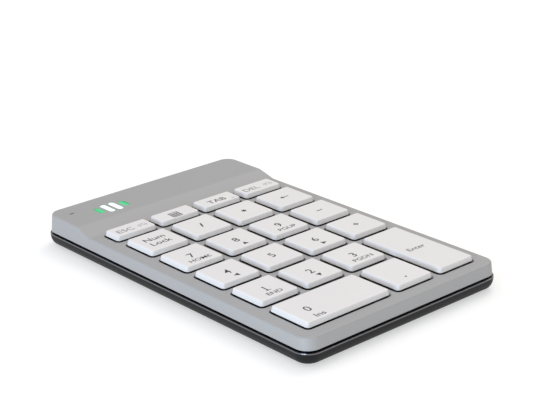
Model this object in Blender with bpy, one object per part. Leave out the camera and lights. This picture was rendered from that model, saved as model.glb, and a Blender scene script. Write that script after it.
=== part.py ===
"""A slim desk keypad with 22 keys, modelled as an assembly of separate pieces.

Metres, +Z up. The origin is the middle of the footprint, on the desk. +X is to the
user's right and +Y away from the user, towards the raised housing at the rear.
"""
from math import asin, atan2, cos, hypot, pi, radians, sin

import bmesh
import bpy
from mathutils import Matrix

# Key field: the openings in the cover, one for each key
COLUMNS = 4
COLUMN_PITCH = 0.0190
ROW_PITCH = 0.01835
COLUMN_BAR = 0.0024
ROW_BAR = 0.00265
FRONT_OPENING_DEPTH = 0.0181
FUNCTION_OPENING_DEPTH = 0.0090
FUNCTION_BAR = 0.00285
FUNCTION_WIDENING = 0.0004
OPENING_RADIUS = 0.0016

# Keycaps
CAP_CLEARANCE = 0.0004
CAP_RISE = 0.0020
CAP_LIFT = 0.0002
CAP_DRAFT = 0.0003
CAP_ROUND = 0.0005
CAP_WALL = 0.0010
CAP_TOP = 0.0012
HOLLOW_RADIUS = 0.0003
KEY_TRAVEL = 0.0018

# Cover
SIDE_MARGIN = 0.0049
FRONT_MARGIN = 0.00495
RAMP_MARGIN = 0.0013
RAMP_RUN = 0.0073
HUMP_RUN = 0.0190
HUMP_RISE = 0.00205
DECK_RISE = 0.0041
WALL_DRAFT = 0.0004
COVER_WALL = 0.0012
CORNER_RADIUS = 0.0050
EDGE_ROUND = 0.0005

# Tray and feet
FOOT_HEIGHT = 0.0008
TRAY_RISE = 0.00415
TRAY_TUCK = 0.0022
TRAY_FLOOR = 0.0014
LIP_OVERHANG = 0.0005
LIP_FACE = 0.0004
PARTING_GAP = 0.00065
UPSTAND_LAP = 0.0006
UPSTAND_WALL = 0.0010
RIB_WALL = 0.0012
FOOT_RECESS = 0.0006
FOOT_LENGTH = 0.0600
FOOT_WIDTH = 0.0060
FOOT_INSET = 0.0110

# Key switch layers
FIT_GAP = 0.0003
PLATE_SHEET = 0.0005
MEMBRANE_SHEET = 0.0003
DOME_SHEET = 0.0004
DOME_TAPER = 0.65
LAYER_MARGIN = 0.0010
TAIL_WIDTH = 0.0120
TAIL_LENGTH = 0.0015
LEVER_SHEET = 0.0007
LEVER_BAR = 0.0008
LEVER_SIDE_ROOM = 0.0022
LEVER_END_ROOM = 0.0004
LEVER_ROOM = 0.0010
WIRE_RADIUS = 0.0004
WIRE_SWING_ROOM = 0.00055
WIRE_ARM = 0.0042
WIRE_END_ROOM = 0.0015
WIRE_TIP = 0.0012

# Electronics under the raised housing
BOARD_SHEET = 0.0010
BOARD_DEPTH = 0.0150
SOCKET_WIDTH = 0.00894
SOCKET_HEIGHT = 0.00326
SOCKET_LENGTH = 0.0073
SOCKET_MOUTH_ROUND = 0.48
SOCKET_WALL = 0.0003
SOCKET_TONGUE = 0.0007
SOCKET_FROM_BOARD_END = 0.0055
SWITCH_FROM_SIDE = 0.0177
SWITCH_TRAVEL = 0.0020
KNOB_WIDTH = 0.0020
KNOB_HEIGHT = 0.0016
KNOB_PROUD = 0.0004
FLANGE_LAP = 0.0012
FLANGE_SHEET = 0.0008
SWITCH_DEPTH = 0.0030
BATTERY_WIDTH = 0.0300
BATTERY_DEPTH = 0.0140
BATTERY_HEIGHT = 0.0050

# Lights in the raised housing
GAUGE_FROM_SIDE = 0.0198
GAUGE_FROM_REAR = 0.0117
GAUGE_PITCH = 0.0036
GAUGE_BAR = 0.0022
GAUGE_BAR_LENGTHS = (0.0052, 0.0076, 0.0076, 0.0052)
STATUS_FROM_SIDE = 0.0060
STATUS_FROM_REAR = 0.0071
STATUS_LENGTH = 0.0020
STATUS_WIDTH = 0.0006
LENS_SUNK = 0.00005
LENS_SHEET = 0.0008

# Name, column, row from the front, columns wide, rows deep
KEYS = (
    ("key_0", 0, 0, 2, 1),
    ("key_decimal", 2, 0, 1, 1),
    ("key_enter", 3, 0, 1, 2),
    ("key_1", 0, 1, 1, 1),
    ("key_2", 1, 1, 1, 1),
    ("key_3", 2, 1, 1, 1),
    ("key_4", 0, 2, 1, 1),
    ("key_5", 1, 2, 1, 1),
    ("key_6", 2, 2, 1, 1),
    ("key_plus", 3, 2, 1, 1),
    ("key_7", 0, 3, 1, 1),
    ("key_8", 1, 3, 1, 1),
    ("key_9", 2, 3, 1, 1),
    ("key_minus", 3, 3, 1, 1),
    ("key_num_lock", 0, 4, 1, 1),
    ("key_divide", 1, 4, 1, 1),
    ("key_multiply", 2, 4, 1, 1),
    ("key_backspace", 3, 4, 1, 1),
    ("key_escape", 0, 5, 1, 1),
    ("key_calculator", 1, 5, 1, 1),
    ("key_tab", 2, 5, 1, 1),
    ("key_delete", 3, 5, 1, 1),
)
FUNCTION_ROW = 5

# Levels above the desk
UNDERSIDE = FOOT_HEIGHT
FLOOR = UNDERSIDE + TRAY_FLOOR
LIP_TOP = UNDERSIDE + TRAY_RISE
COVER_BOTTOM = LIP_TOP + PARTING_GAP
UPSTAND_TOP = COVER_BOTTOM + UPSTAND_LAP
DECK = COVER_BOTTOM + DECK_RISE
HUMP = DECK + HUMP_RISE
CAP_FACE = DECK + CAP_RISE
CAP_BOTTOM = DECK + CAP_LIFT
CAP_CEILING = CAP_FACE - CAP_TOP
MAT_TOP = DECK - KEY_TRAVEL - LEVER_ROOM
MEMBRANE_TOP = MAT_TOP - DOME_SHEET - FIT_GAP
PLATE_TOP = MEMBRANE_TOP - MEMBRANE_SHEET - FIT_GAP
RIB_TOP = PLATE_TOP - PLATE_SHEET - FIT_GAP
DOME_TOP = CAP_CEILING - KEY_TRAVEL - FIT_GAP
SOCKET_Z = (UPSTAND_TOP + HUMP - COVER_WALL) / 2
BOARD_TOP = SOCKET_Z - SOCKET_HEIGHT / 2 - FIT_GAP

# Plan of the case
ROW_OPENING = ROW_PITCH - ROW_BAR
FIELD_WIDTH = COLUMNS * COLUMN_PITCH - COLUMN_BAR
FIELD_DEPTH = (FRONT_OPENING_DEPTH + (FUNCTION_ROW - 1) * ROW_PITCH
               + FUNCTION_BAR + FUNCTION_OPENING_DEPTH)
CASE_MARGIN = WALL_DRAFT + LIP_OVERHANG
CASE_WIDTH = FIELD_WIDTH + 2 * (SIDE_MARGIN + CASE_MARGIN)
CASE_DEPTH = (FRONT_MARGIN + FIELD_DEPTH + RAMP_MARGIN + RAMP_RUN + HUMP_RUN
              + 2 * CASE_MARGIN)
FIELD_LEFT = -FIELD_WIDTH / 2
FIELD_FRONT = -CASE_DEPTH / 2 + CASE_MARGIN + FRONT_MARGIN
FIELD_REAR = FIELD_FRONT + FIELD_DEPTH
RAMP_FOOT = FIELD_REAR + RAMP_MARGIN
RAMP_HEAD = RAMP_FOOT + RAMP_RUN
HUMP_REAR = RAMP_HEAD + HUMP_RUN
LIP_RADIUS = CORNER_RADIUS + LIP_OVERHANG
DRAFT_SLOPE = WALL_DRAFT / DECK_RISE
UPSTAND_INSET = LIP_OVERHANG + COVER_WALL + FIT_GAP
INNER_INSET = UPSTAND_INSET + UPSTAND_WALL
REAR_WALL_Y = CASE_DEPTH / 2 - LIP_OVERHANG - DRAFT_SLOPE * (SOCKET_Z - COVER_BOTTOM)
REAR_INSIDE_Y = REAR_WALL_Y - COVER_WALL
DECK_SIDE_X = -FIELD_WIDTH / 2 - SIDE_MARGIN
BOARD_REAR_Y = CASE_DEPTH / 2 - INNER_INSET - LAYER_MARGIN
BOARD_FRONT_Y = BOARD_REAR_Y - BOARD_DEPTH
BOARD_LEFT_X = -CASE_WIDTH / 2 + INNER_INSET + LAYER_MARGIN
BATTERY_RIGHT_X = CASE_WIDTH / 2 - INNER_INSET - LAYER_MARGIN - RIB_WALL
BATTERY_LEFT_X = BATTERY_RIGHT_X - BATTERY_WIDTH
BOARD_RIGHT_X = BATTERY_LEFT_X - 2 * RIB_WALL
SOCKET_X = BOARD_RIGHT_X - SOCKET_FROM_BOARD_END
SWITCH_X = DECK_SIDE_X + SWITCH_FROM_SIDE
GAUGE_X = DECK_SIDE_X + GAUGE_FROM_SIDE
STATUS_X = DECK_SIDE_X + STATUS_FROM_SIDE
# Middle, width and height of each chip and lamp on the board
CHIPS = (
    (BOARD_RIGHT_X - 0.0130, 0.0050, 0.0009),
    (BOARD_RIGHT_X - 0.0060, 0.0025, 0.0007),
    (GAUGE_X, 0.0030, 0.0008),
    (STATUS_X, 0.0016, 0.0006),
)

ARC_STEPS = 3


def srgb(red, green, blue):
    """A screen colour, 0 to 255, as the linear colour that shaders use."""
    channels = [value / 255 for value in (red, green, blue)]
    linear = [c / 12.92 if c <= 0.04045 else ((c + 0.055) / 1.055) ** 2.4 for c in channels]
    return (*linear, 1.0)


def make_material(name, colour, roughness, metallic=0.0, glow=0.0):
    """A Principled material, which shines in its own colour when glow is set."""
    material = bpy.data.materials.new(name)
    material.use_nodes = True
    shader = material.node_tree.nodes["Principled BSDF"]
    shader.inputs["Base Color"].default_value = colour
    shader.inputs["Roughness"].default_value = roughness
    shader.inputs["Metallic"].default_value = metallic
    shader.inputs["Emission Color"].default_value = colour
    shader.inputs["Emission Strength"].default_value = glow
    return material


def add_object(name, mesh, collection, material=None):
    """A named object that holds a mesh and its material."""
    part = bpy.data.objects.new(name, mesh)
    collection.objects.link(part)
    if material is not None:
        mesh.materials.clear()
        mesh.materials.append(material)
    return part


def add_cutter(name, mesh):
    """A tool shape: it cuts or joins other pieces and isn't part of the keypad."""
    cutter = add_object(name, mesh, cutters)
    cutter.hide_render = True
    cutter.display_type = "WIRE"
    return cutter


def rounded_rectangle(low, high, radius, steps=ARC_STEPS):
    """The outline of a rectangle with round corners, anticlockwise from the right rear."""
    radius = max(radius, FIT_GAP)
    corners = (
        (high[0] - radius, high[1] - radius, 0),
        (low[0] + radius, high[1] - radius, pi / 2),
        (low[0] + radius, low[1] + radius, pi),
        (high[0] - radius, low[1] + radius, 3 * pi / 2),
    )
    outline = []
    for centre_x, centre_y, start in corners:
        for step in range(steps + 1):
            angle = start + step / steps * pi / 2
            outline.append((centre_x + radius * cos(angle), centre_y + radius * sin(angle)))
    return outline


def case_outline(inset, steps=ARC_STEPS * 2):
    """The plan of the case, moved inwards from the tray's lip."""
    x = CASE_WIDTH / 2 - inset
    y = CASE_DEPTH / 2 - inset
    return rounded_rectangle((-x, -y), (x, y), LIP_RADIUS - inset, steps)


def sheet_mesh(name, outlines, low, high):
    """Flat outlines given a thickness; an outline inside another one is a hole."""
    curve = bpy.data.curves.new(name, "CURVE")
    curve.dimensions = "2D"
    curve.fill_mode = "BOTH"
    curve.extrude = (high - low) / 2
    for outline in outlines:
        spline = curve.splines.new("POLY")
        spline.points.add(len(outline) - 1)
        for point, (x, y) in zip(spline.points, outline):
            point.co = (x, y, 0, 1)
        spline.use_cyclic_u = True
    return curve_to_mesh(name, curve, Matrix.Translation((0, 0, (low + high) / 2)))


def curve_to_mesh(name, curve, place):
    """The closed mesh of a curve, with its caps welded and its place applied."""
    guide = bpy.data.objects.new(name + "_guide", curve)
    cutters.objects.link(guide)
    graph = bpy.context.evaluated_depsgraph_get()
    mesh = bpy.data.meshes.new_from_object(guide.evaluated_get(graph))
    bpy.data.objects.remove(guide)
    mesh.name = name
    mesh.transform(place)
    shape = bmesh.new()
    shape.from_mesh(mesh)
    bmesh.ops.remove_doubles(shape, verts=shape.verts, dist=0.000001)
    bmesh.ops.recalc_face_normals(shape, faces=shape.faces)
    shape.to_mesh(mesh)
    shape.free()
    return mesh


def loft_mesh(name, sections):
    """A closed skin through outlines of equal point count, each at its own height."""
    shape = bmesh.new()
    loops = [[shape.verts.new((x, y, z)) for x, y in outline] for outline, z in sections]
    for lower, upper in zip(loops, loops[1:]):
        for index in range(len(lower)):
            after = (index + 1) % len(lower)
            shape.faces.new((lower[index], lower[after], upper[after], upper[index]))
    shape.faces.new(reversed(loops[0]))
    shape.faces.new(loops[-1])
    bmesh.ops.recalc_face_normals(shape, faces=shape.faces)
    mesh = bpy.data.meshes.new(name)
    shape.to_mesh(mesh)
    shape.free()
    return mesh


def boxes_mesh(name, boxes):
    """Separate boxes in one mesh, each given by its low and high corners."""
    shape = bmesh.new()
    for low, high in boxes:
        size = [top - bottom for bottom, top in zip(low, high)]
        middle = [(top + bottom) / 2 for bottom, top in zip(low, high)]
        place = Matrix.Translation(middle) @ Matrix.Diagonal((*size, 1))
        bmesh.ops.create_cube(shape, size=1, matrix=place)
    mesh = bpy.data.meshes.new(name)
    shape.to_mesh(mesh)
    shape.free()
    return mesh


def combine(part, tool, operation):
    """Cut a tool shape from a part, or join it to the part."""
    modifier = part.modifiers.new(tool.name, "BOOLEAN")
    modifier.operation = operation
    modifier.solver = "EXACT"
    modifier.object = tool


def opening_corners(column, row, columns_wide, rows_deep):
    """The low and high corners of a key's opening in the cover, a little wider in the function row."""
    widening = FUNCTION_WIDENING if row == FUNCTION_ROW else 0
    left = FIELD_LEFT + column * COLUMN_PITCH - widening
    right = left + columns_wide * COLUMN_PITCH - COLUMN_BAR + 2 * widening
    front = row_front(row)
    rear = row_rear(row + rows_deep - 1)
    return (left, front), (right, rear)


def row_front(row):
    """Where a row of openings starts, row 0 being the nearest to the user."""
    if row == 0:
        return FIELD_FRONT
    second_row = FIELD_FRONT + FRONT_OPENING_DEPTH + ROW_BAR
    if row < FUNCTION_ROW:
        return second_row + (row - 1) * ROW_PITCH
    return row_rear(FUNCTION_ROW - 1) + FUNCTION_BAR


def row_rear(row):
    """Where a row of openings ends."""
    if row == 0:
        return FIELD_FRONT + FRONT_OPENING_DEPTH
    if row < FUNCTION_ROW:
        return row_front(row) + ROW_OPENING
    return row_front(row) + FUNCTION_OPENING_DEPTH


def grown(corners, amount):
    """Corners of a rectangle moved outwards, or inwards when the amount is negative."""
    (left, front), (right, rear) = corners
    return (left - amount, front - amount), (right + amount, rear + amount)


def centre_of(corners):
    """The middle of a rectangle."""
    (left, front), (right, rear) = corners
    return (left + right) / 2, (front + rear) / 2


def make_keycap(name, corners):
    """A moulded cap: drafted skirt, rounded shoulder and a hollow underneath."""
    foot = grown(corners, -CAP_CLEARANCE)
    foot_radius = OPENING_RADIUS - CAP_CLEARANCE
    inside = CAP_WALL + CAP_DRAFT

    def section(inset, height):
        return rounded_rectangle(*grown(foot, -inset), max(foot_radius - inset, HOLLOW_RADIUS)), height

    sections = (
        section(inside, CAP_CEILING),
        section(CAP_WALL, CAP_BOTTOM),
        section(0, CAP_BOTTOM),
        section(CAP_DRAFT, CAP_FACE - CAP_ROUND),
        section(CAP_DRAFT + CAP_ROUND * (1 - cos(pi / 4)), CAP_FACE - CAP_ROUND * (1 - sin(pi / 4))),
        section(CAP_DRAFT + CAP_ROUND, CAP_FACE),
    )
    return add_object(name, loft_mesh(name, sections), keypad, cap_white)


def lever_size(corners):
    """Width and length of the crossed levers under a key."""
    (left, front), (right, rear) = grown(corners, -CAP_CLEARANCE - CAP_WALL - CAP_DRAFT)
    width = min(right - left, COLUMN_PITCH - COLUMN_BAR - 2 * (CAP_CLEARANCE + CAP_WALL + CAP_DRAFT))
    depth = min(rear - front, ROW_OPENING - 2 * (CAP_CLEARANCE + CAP_WALL + CAP_DRAFT))
    return width - 2 * LEVER_SIDE_ROOM, depth - 2 * LEVER_END_ROOM


def lever_tilt(length):
    """The angle at which a lever fills the room between the dome mat and the cap."""
    room = CAP_CEILING - MAT_TOP - 2 * FIT_GAP
    return asin(room / hypot(length, LEVER_SHEET)) - atan2(LEVER_SHEET, length)


def ring_mesh(name, width, length):
    """A lever: a flat frame, open in the middle round the dome."""
    outer = ((-width / 2, -length / 2), (width / 2, length / 2))
    outlines = [rounded_rectangle(*outer, LEVER_BAR / 2, 1),
                rounded_rectangle(*grown(outer, -LEVER_BAR), FIT_GAP, 1)]
    return sheet_mesh(name, outlines, -LEVER_SHEET / 2, LEVER_SHEET / 2)


def make_levers(name, corners):
    """Two lever frames crossed like scissors, held together by their pivot pins."""
    width, length = lever_size(corners)
    tilt = lever_tilt(length)
    height = (CAP_CEILING + MAT_TOP) / 2
    middle = Matrix.Translation((*centre_of(corners), height))
    inner_width = width - 2 * (LEVER_BAR + FIT_GAP)

    outer = ring_mesh(name, width, length)
    outer.transform(middle @ Matrix.Rotation(tilt, 4, "X"))
    levers = add_object(name, outer, keypad, lever_plastic)

    inner = ring_mesh(name + "_inner", inner_width, length)
    inner.transform(middle @ Matrix.Rotation(-tilt, 4, "X"))
    combine(levers, add_cutter(name + "_inner", inner), "UNION")

    reach = LEVER_BAR * 2 + FIT_GAP
    pin_x = (width - reach) / 2
    pins = bmesh.new()
    for side in (-1, 1):
        place = middle @ Matrix.Translation((side * pin_x, 0, 0)) @ Matrix.Rotation(pi / 2, 4, "Y")
        bmesh.ops.create_cone(pins, cap_ends=True, segments=6, radius1=LEVER_SHEET / 3,
                              radius2=LEVER_SHEET / 3, depth=reach - LEVER_BAR / 2, matrix=place)
    pin_mesh = bpy.data.meshes.new(name + "_pins")
    pins.to_mesh(pin_mesh)
    pins.free()
    combine(levers, add_cutter(name + "_pins", pin_mesh), "UNION")
    return levers


def dome_radius(corners):
    """The largest dome that stands inside the crossed levers."""
    width, length = lever_size(corners)
    inner_width = width - 2 * (LEVER_BAR + FIT_GAP)
    across = inner_width / 2 - LEVER_BAR
    along = (length / 2 - LEVER_BAR) * cos(lever_tilt(length))
    return min(across, along) - FIT_GAP


def layer_corners(margin):
    """The rectangle of the sheets under the keys, clear of the tray's upstand."""
    side = CASE_WIDTH / 2 - INNER_INSET - margin
    front = -CASE_DEPTH / 2 + INNER_INSET + margin
    return (-side, front), (side, FIELD_REAR + LAYER_MARGIN - margin)


def make_dome_mat():
    """One silicone sheet with a dome, drawn pressed, under the middle of every key."""
    outline = rounded_rectangle(*layer_corners(2 * FIT_GAP), LIP_RADIUS - INNER_INSET)
    mat = add_object("dome_mat", sheet_mesh("dome_mat", [outline], MAT_TOP - DOME_SHEET, MAT_TOP),
                     keypad, silicone)
    domes = bmesh.new()
    low = MAT_TOP - DOME_SHEET / 2
    for _, *cell in KEYS:
        corners = opening_corners(*cell)
        radius = dome_radius(corners)
        place = Matrix.Translation((*centre_of(corners), (low + DOME_TOP) / 2))
        bmesh.ops.create_cone(domes, cap_ends=True, segments=10, radius1=radius,
                              radius2=radius * DOME_TAPER, depth=DOME_TOP - low, matrix=place)
    mesh = bpy.data.meshes.new("domes")
    domes.to_mesh(mesh)
    domes.free()
    combine(mat, add_cutter("domes", mesh), "UNION")


def make_membrane():
    """The printed switch foil, with a tail that runs back to the board."""
    corners = layer_corners(FIT_GAP)
    rear = corners[1][1]
    tail_right = BOARD_RIGHT_X
    tail_left = tail_right - TAIL_WIDTH
    tail = [(tail_right, rear), (tail_right, rear + TAIL_LENGTH),
            (tail_left, rear + TAIL_LENGTH), (tail_left, rear)]
    sheet = rounded_rectangle(*corners, LIP_RADIUS - INNER_INSET)
    outline = sheet[:ARC_STEPS + 1] + tail + sheet[ARC_STEPS + 1:]
    mesh = sheet_mesh("membrane", [outline], MEMBRANE_TOP - MEMBRANE_SHEET, MEMBRANE_TOP)
    add_object("membrane", mesh, keypad, foil)


def make_support_plate():
    """The steel plate that stiffens the key field."""
    outlines = [rounded_rectangle(*layer_corners(FIT_GAP), LIP_RADIUS - INNER_INSET)]
    mesh = sheet_mesh("support_plate", outlines, PLATE_TOP - PLATE_SHEET, PLATE_TOP)
    add_object("support_plate", mesh, keypad, steel)


def make_stabiliser(name, corners, along_y):
    """A bent wire that keeps a long cap level; its tips lie on the wire's hinge axis."""
    (left, front), (right, rear) = grown(corners, -CAP_CLEARANCE - CAP_WALL - CAP_DRAFT)
    middle_x, middle_y = centre_of(corners)
    if along_y:
        half_length = (rear - front) / 2
        half_width = (right - left) / 2
        turn = -pi / 2
    else:
        half_length = (right - left) / 2
        half_width = (rear - front) / 2
        turn = 0
    arm_x = half_length - WIRE_END_ROOM
    bar_y = -(half_width - FIT_GAP - WIRE_RADIUS - WIRE_SWING_ROOM)
    tip_y = bar_y + WIRE_ARM
    bar_z = CAP_CEILING - FIT_GAP - WIRE_RADIUS
    tip_z = MAT_TOP + FIT_GAP + WIRE_RADIUS
    path = [(-arm_x + WIRE_TIP, tip_y, tip_z), (-arm_x, tip_y, tip_z), (-arm_x, bar_y, bar_z),
            (arm_x, bar_y, bar_z), (arm_x, tip_y, tip_z), (arm_x - WIRE_TIP, tip_y, tip_z)]
    curve = bpy.data.curves.new(name, "CURVE")
    curve.dimensions = "3D"
    curve.bevel_depth = WIRE_RADIUS
    curve.bevel_resolution = 2
    curve.use_fill_caps = True
    spline = curve.splines.new("POLY")
    spline.points.add(len(path) - 1)
    for point, place in zip(spline.points, path):
        point.co = (*place, 1)
    place = Matrix.Translation((middle_x, middle_y, 0)) @ Matrix.Rotation(turn, 4, "Z")
    add_object(name, curve_to_mesh(name, curve, place), keypad, steel)


def tapered_case(name, inset, low, high):
    """The drafted block inside or outside the cover's walls, from one level to another."""
    def section(height):
        return case_outline(inset + DRAFT_SLOPE * (height - COVER_BOTTOM)), height
    return loft_mesh(name, (section(low), section(high)))


def deck_cutter(name, drop):
    """Everything above the deck, the ramp and the housing's top, lowered by a drop."""
    beyond = CASE_WIDTH
    slope = HUMP_RISE / RAMP_RUN
    past = RAMP_MARGIN
    front = -CASE_DEPTH / 2 - past
    profile = [(front, DECK - drop), (RAMP_FOOT, DECK - drop),
               (RAMP_HEAD + past, HUMP + past * slope - drop), (front, HUMP + past * slope - drop)]
    mesh = sheet_mesh(name, [profile], -beyond / 2, beyond / 2)
    mesh.transform(Matrix(((0, 0, 1, 0), (1, 0, 0, 0), (0, 1, 0, 0), (0, 0, 0, 1))))
    return add_cutter(name, mesh)


def top_rim(shape):
    """The edges where an upward face meets a side wall."""
    rim = []
    for edge in shape.edges:
        heights = sorted(abs(face.normal.z) for face in edge.link_faces)
        if len(heights) == 2 and heights[0] < 0.5 < heights[1]:
            if edge.verts[0].co.z > DECK - EDGE_ROUND:
                rim.append(edge)
    return rim


def applied(part):
    """Bake a part's modifiers into its mesh."""
    graph = bpy.context.evaluated_depsgraph_get()
    mesh = bpy.data.meshes.new_from_object(part.evaluated_get(graph))
    mesh.name = part.name
    part.modifiers.clear()
    part.data = mesh
    return part


def make_cover():
    """The upper shell: one moulding with a deck of openings and a raised rear housing."""
    block = tapered_case("cover", LIP_OVERHANG, COVER_BOTTOM, HUMP)
    cover = add_object("top_cover", block, keypad, cover_silver)
    combine(cover, deck_cutter("above_deck", 0), "DIFFERENCE")
    applied(cover)
    shape = bmesh.new()
    shape.from_mesh(cover.data)
    bmesh.ops.dissolve_limit(shape, angle_limit=radians(1), verts=shape.verts, edges=shape.edges)
    bmesh.ops.bevel(shape, geom=top_rim(shape), offset=EDGE_ROUND, segments=2, profile=0.5,
                    affect="EDGES")
    shape.to_mesh(cover.data)
    shape.free()

    below = COVER_BOTTOM - PARTING_GAP
    cavity = add_cutter("cover_cavity", tapered_case("cover_cavity", LIP_OVERHANG + COVER_WALL,
                                                     below, HUMP - COVER_WALL))
    combine(cavity, deck_cutter("above_deck_inside", COVER_WALL), "DIFFERENCE")
    combine(cover, cavity, "DIFFERENCE")

    openings = [rounded_rectangle(*opening_corners(*cell), OPENING_RADIUS) for _, *cell in KEYS]
    holes = sheet_mesh("key_openings", openings, DECK - 2 * COVER_WALL, DECK + COVER_WALL)
    combine(cover, add_cutter("key_openings", holes), "DIFFERENCE")

    windows = [rounded_rectangle(*grown(bar, FIT_GAP), GAUGE_BAR / 2 + FIT_GAP) for bar in gauge_bars()]
    windows.append(rounded_rectangle(*grown(status_corners(), FIT_GAP), STATUS_WIDTH / 2 + FIT_GAP))
    glass = sheet_mesh("light_windows", windows, HUMP - 2 * COVER_WALL, HUMP + COVER_WALL)
    combine(cover, add_cutter("light_windows", glass), "DIFFERENCE")

    rear_low = REAR_INSIDE_Y - COVER_WALL
    rear_high = REAR_WALL_Y + COVER_WALL
    socket_hole = socket_outline(FIT_GAP)
    add_wall_cutter("socket_hole", cover, socket_hole, rear_low, rear_high)
    slot = grown(knob_corners(), FIT_GAP)
    slot = (slot[0], (slot[1][0] + SWITCH_TRAVEL, slot[1][1]))
    add_wall_cutter("switch_slot", cover, rounded_rectangle(*slot, FIT_GAP), rear_low, rear_high)


def add_wall_cutter(name, part, outline, low_y, high_y):
    """Cut an outline, drawn in X and Z, through a wall that faces the rear."""
    combine(part, add_cutter(name, wall_mesh(name, [outline], low_y, high_y)), "DIFFERENCE")


def wall_mesh(name, outlines, low_y, high_y):
    """Outlines drawn in X and Z, given a thickness along Y."""
    mesh = sheet_mesh(name, outlines, -high_y, -low_y)
    mesh.transform(Matrix.Rotation(pi / 2, 4, "X"))
    return mesh


def socket_outline(growth):
    """The rounded mouth of the charging socket, drawn in X and Z."""
    low = (SOCKET_X - SOCKET_WIDTH / 2, SOCKET_Z - SOCKET_HEIGHT / 2)
    high = (SOCKET_X + SOCKET_WIDTH / 2, SOCKET_Z + SOCKET_HEIGHT / 2)
    return rounded_rectangle(*grown((low, high), growth), SOCKET_MOUTH_ROUND * SOCKET_HEIGHT + growth, 4)


def knob_corners():
    """The switch knob, drawn in X and Z, in its on position."""
    return ((SWITCH_X - KNOB_WIDTH / 2, SOCKET_Z - KNOB_HEIGHT / 2),
            (SWITCH_X + KNOB_WIDTH / 2, SOCKET_Z + KNOB_HEIGHT / 2))


def gauge_bars():
    """The corners of each bar of the lit gauge."""
    middle_y = HUMP_REAR - GAUGE_FROM_REAR
    first_x = GAUGE_X - GAUGE_PITCH * (len(GAUGE_BAR_LENGTHS) - 1) / 2
    bars = []
    for index, length in enumerate(GAUGE_BAR_LENGTHS):
        x = first_x + index * GAUGE_PITCH
        bars.append(((x - GAUGE_BAR / 2, middle_y - length / 2),
                     (x + GAUGE_BAR / 2, middle_y + length / 2)))
    return bars


def status_corners():
    """The corners of the small status light."""
    middle_y = HUMP_REAR - STATUS_FROM_REAR
    return ((STATUS_X - STATUS_LENGTH / 2, middle_y - STATUS_WIDTH / 2),
            (STATUS_X + STATUS_LENGTH / 2, middle_y + STATUS_WIDTH / 2))


def make_lenses():
    """The clear light guides: pads stand in the cover's windows on a common sheet."""
    sheet_top = HUMP - COVER_WALL - FIT_GAP
    sheet_low = sheet_top - LENS_SHEET
    pad_top = HUMP - LENS_SUNK

    bars = gauge_bars()
    around = grown((bars[0][0], bars[-1][1]), COVER_WALL)
    sheet = sheet_mesh("indicator_lens", [rounded_rectangle(*around, COVER_WALL)], sheet_low, sheet_top)
    lens = add_object("indicator_lens", sheet, keypad, lit_green)
    pads = sheet_mesh("gauge_pads", [rounded_rectangle(*bar, GAUGE_BAR / 2) for bar in bars],
                      sheet_top - LENS_SHEET / 2, pad_top)
    combine(lens, add_cutter("gauge_pads", pads), "UNION")

    status = status_corners()
    flange = rounded_rectangle(*grown(status, COVER_WALL), COVER_WALL)
    sheet = sheet_mesh("status_lens", [flange], sheet_low, sheet_top)
    status_lens = add_object("status_lens", sheet, keypad, smoke)
    pad = sheet_mesh("status_pad", [rounded_rectangle(*status, STATUS_WIDTH / 2)],
                     sheet_top - LENS_SHEET / 2, pad_top)
    combine(status_lens, add_cutter("status_pad", pad), "UNION")


def rib_boxes():
    """Cross ribs under the bars of the key field, posts for the board, battery fences."""
    low = FLOOR - FIT_GAP
    half = CASE_WIDTH / 2 - INNER_INSET - LAYER_MARGIN
    boxes = []
    for row in range(1, FUNCTION_ROW + 1):
        middle = (row_rear(row - 1) + row_front(row)) / 2
        boxes.append(((-half, middle - RIB_WALL / 2, low), (half, middle + RIB_WALL / 2, RIB_TOP)))
    board_low = BOARD_TOP - BOARD_SHEET - FIT_GAP
    for x in (BOARD_LEFT_X + RIB_WALL, BOARD_RIGHT_X - 2 * RIB_WALL):
        boxes.append(((x, BOARD_FRONT_Y + RIB_WALL, low),
                      (x + RIB_WALL, BOARD_REAR_Y - RIB_WALL, board_low)))
    (left, front), (right, rear) = battery_corners()
    for x in (left - FIT_GAP - RIB_WALL, right + FIT_GAP):
        boxes.append(((x, front, low),
                      (x + RIB_WALL, rear - LAYER_MARGIN, FLOOR + BATTERY_HEIGHT / 2)))
    return boxes


def battery_corners():
    """The plan of the flat battery, to the right of the board."""
    return (BATTERY_LEFT_X, BOARD_REAR_Y - BATTERY_DEPTH), (BATTERY_RIGHT_X, BOARD_REAR_Y)


def foot_corners(end):
    """The plan of a rubber foot; end is -1 for the front one and 1 for the rear one."""
    middle = end * (CASE_DEPTH / 2 - FOOT_INSET)
    return (-FOOT_LENGTH / 2, middle - FOOT_WIDTH / 2), (FOOT_LENGTH / 2, middle + FOOT_WIDTH / 2)


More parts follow.
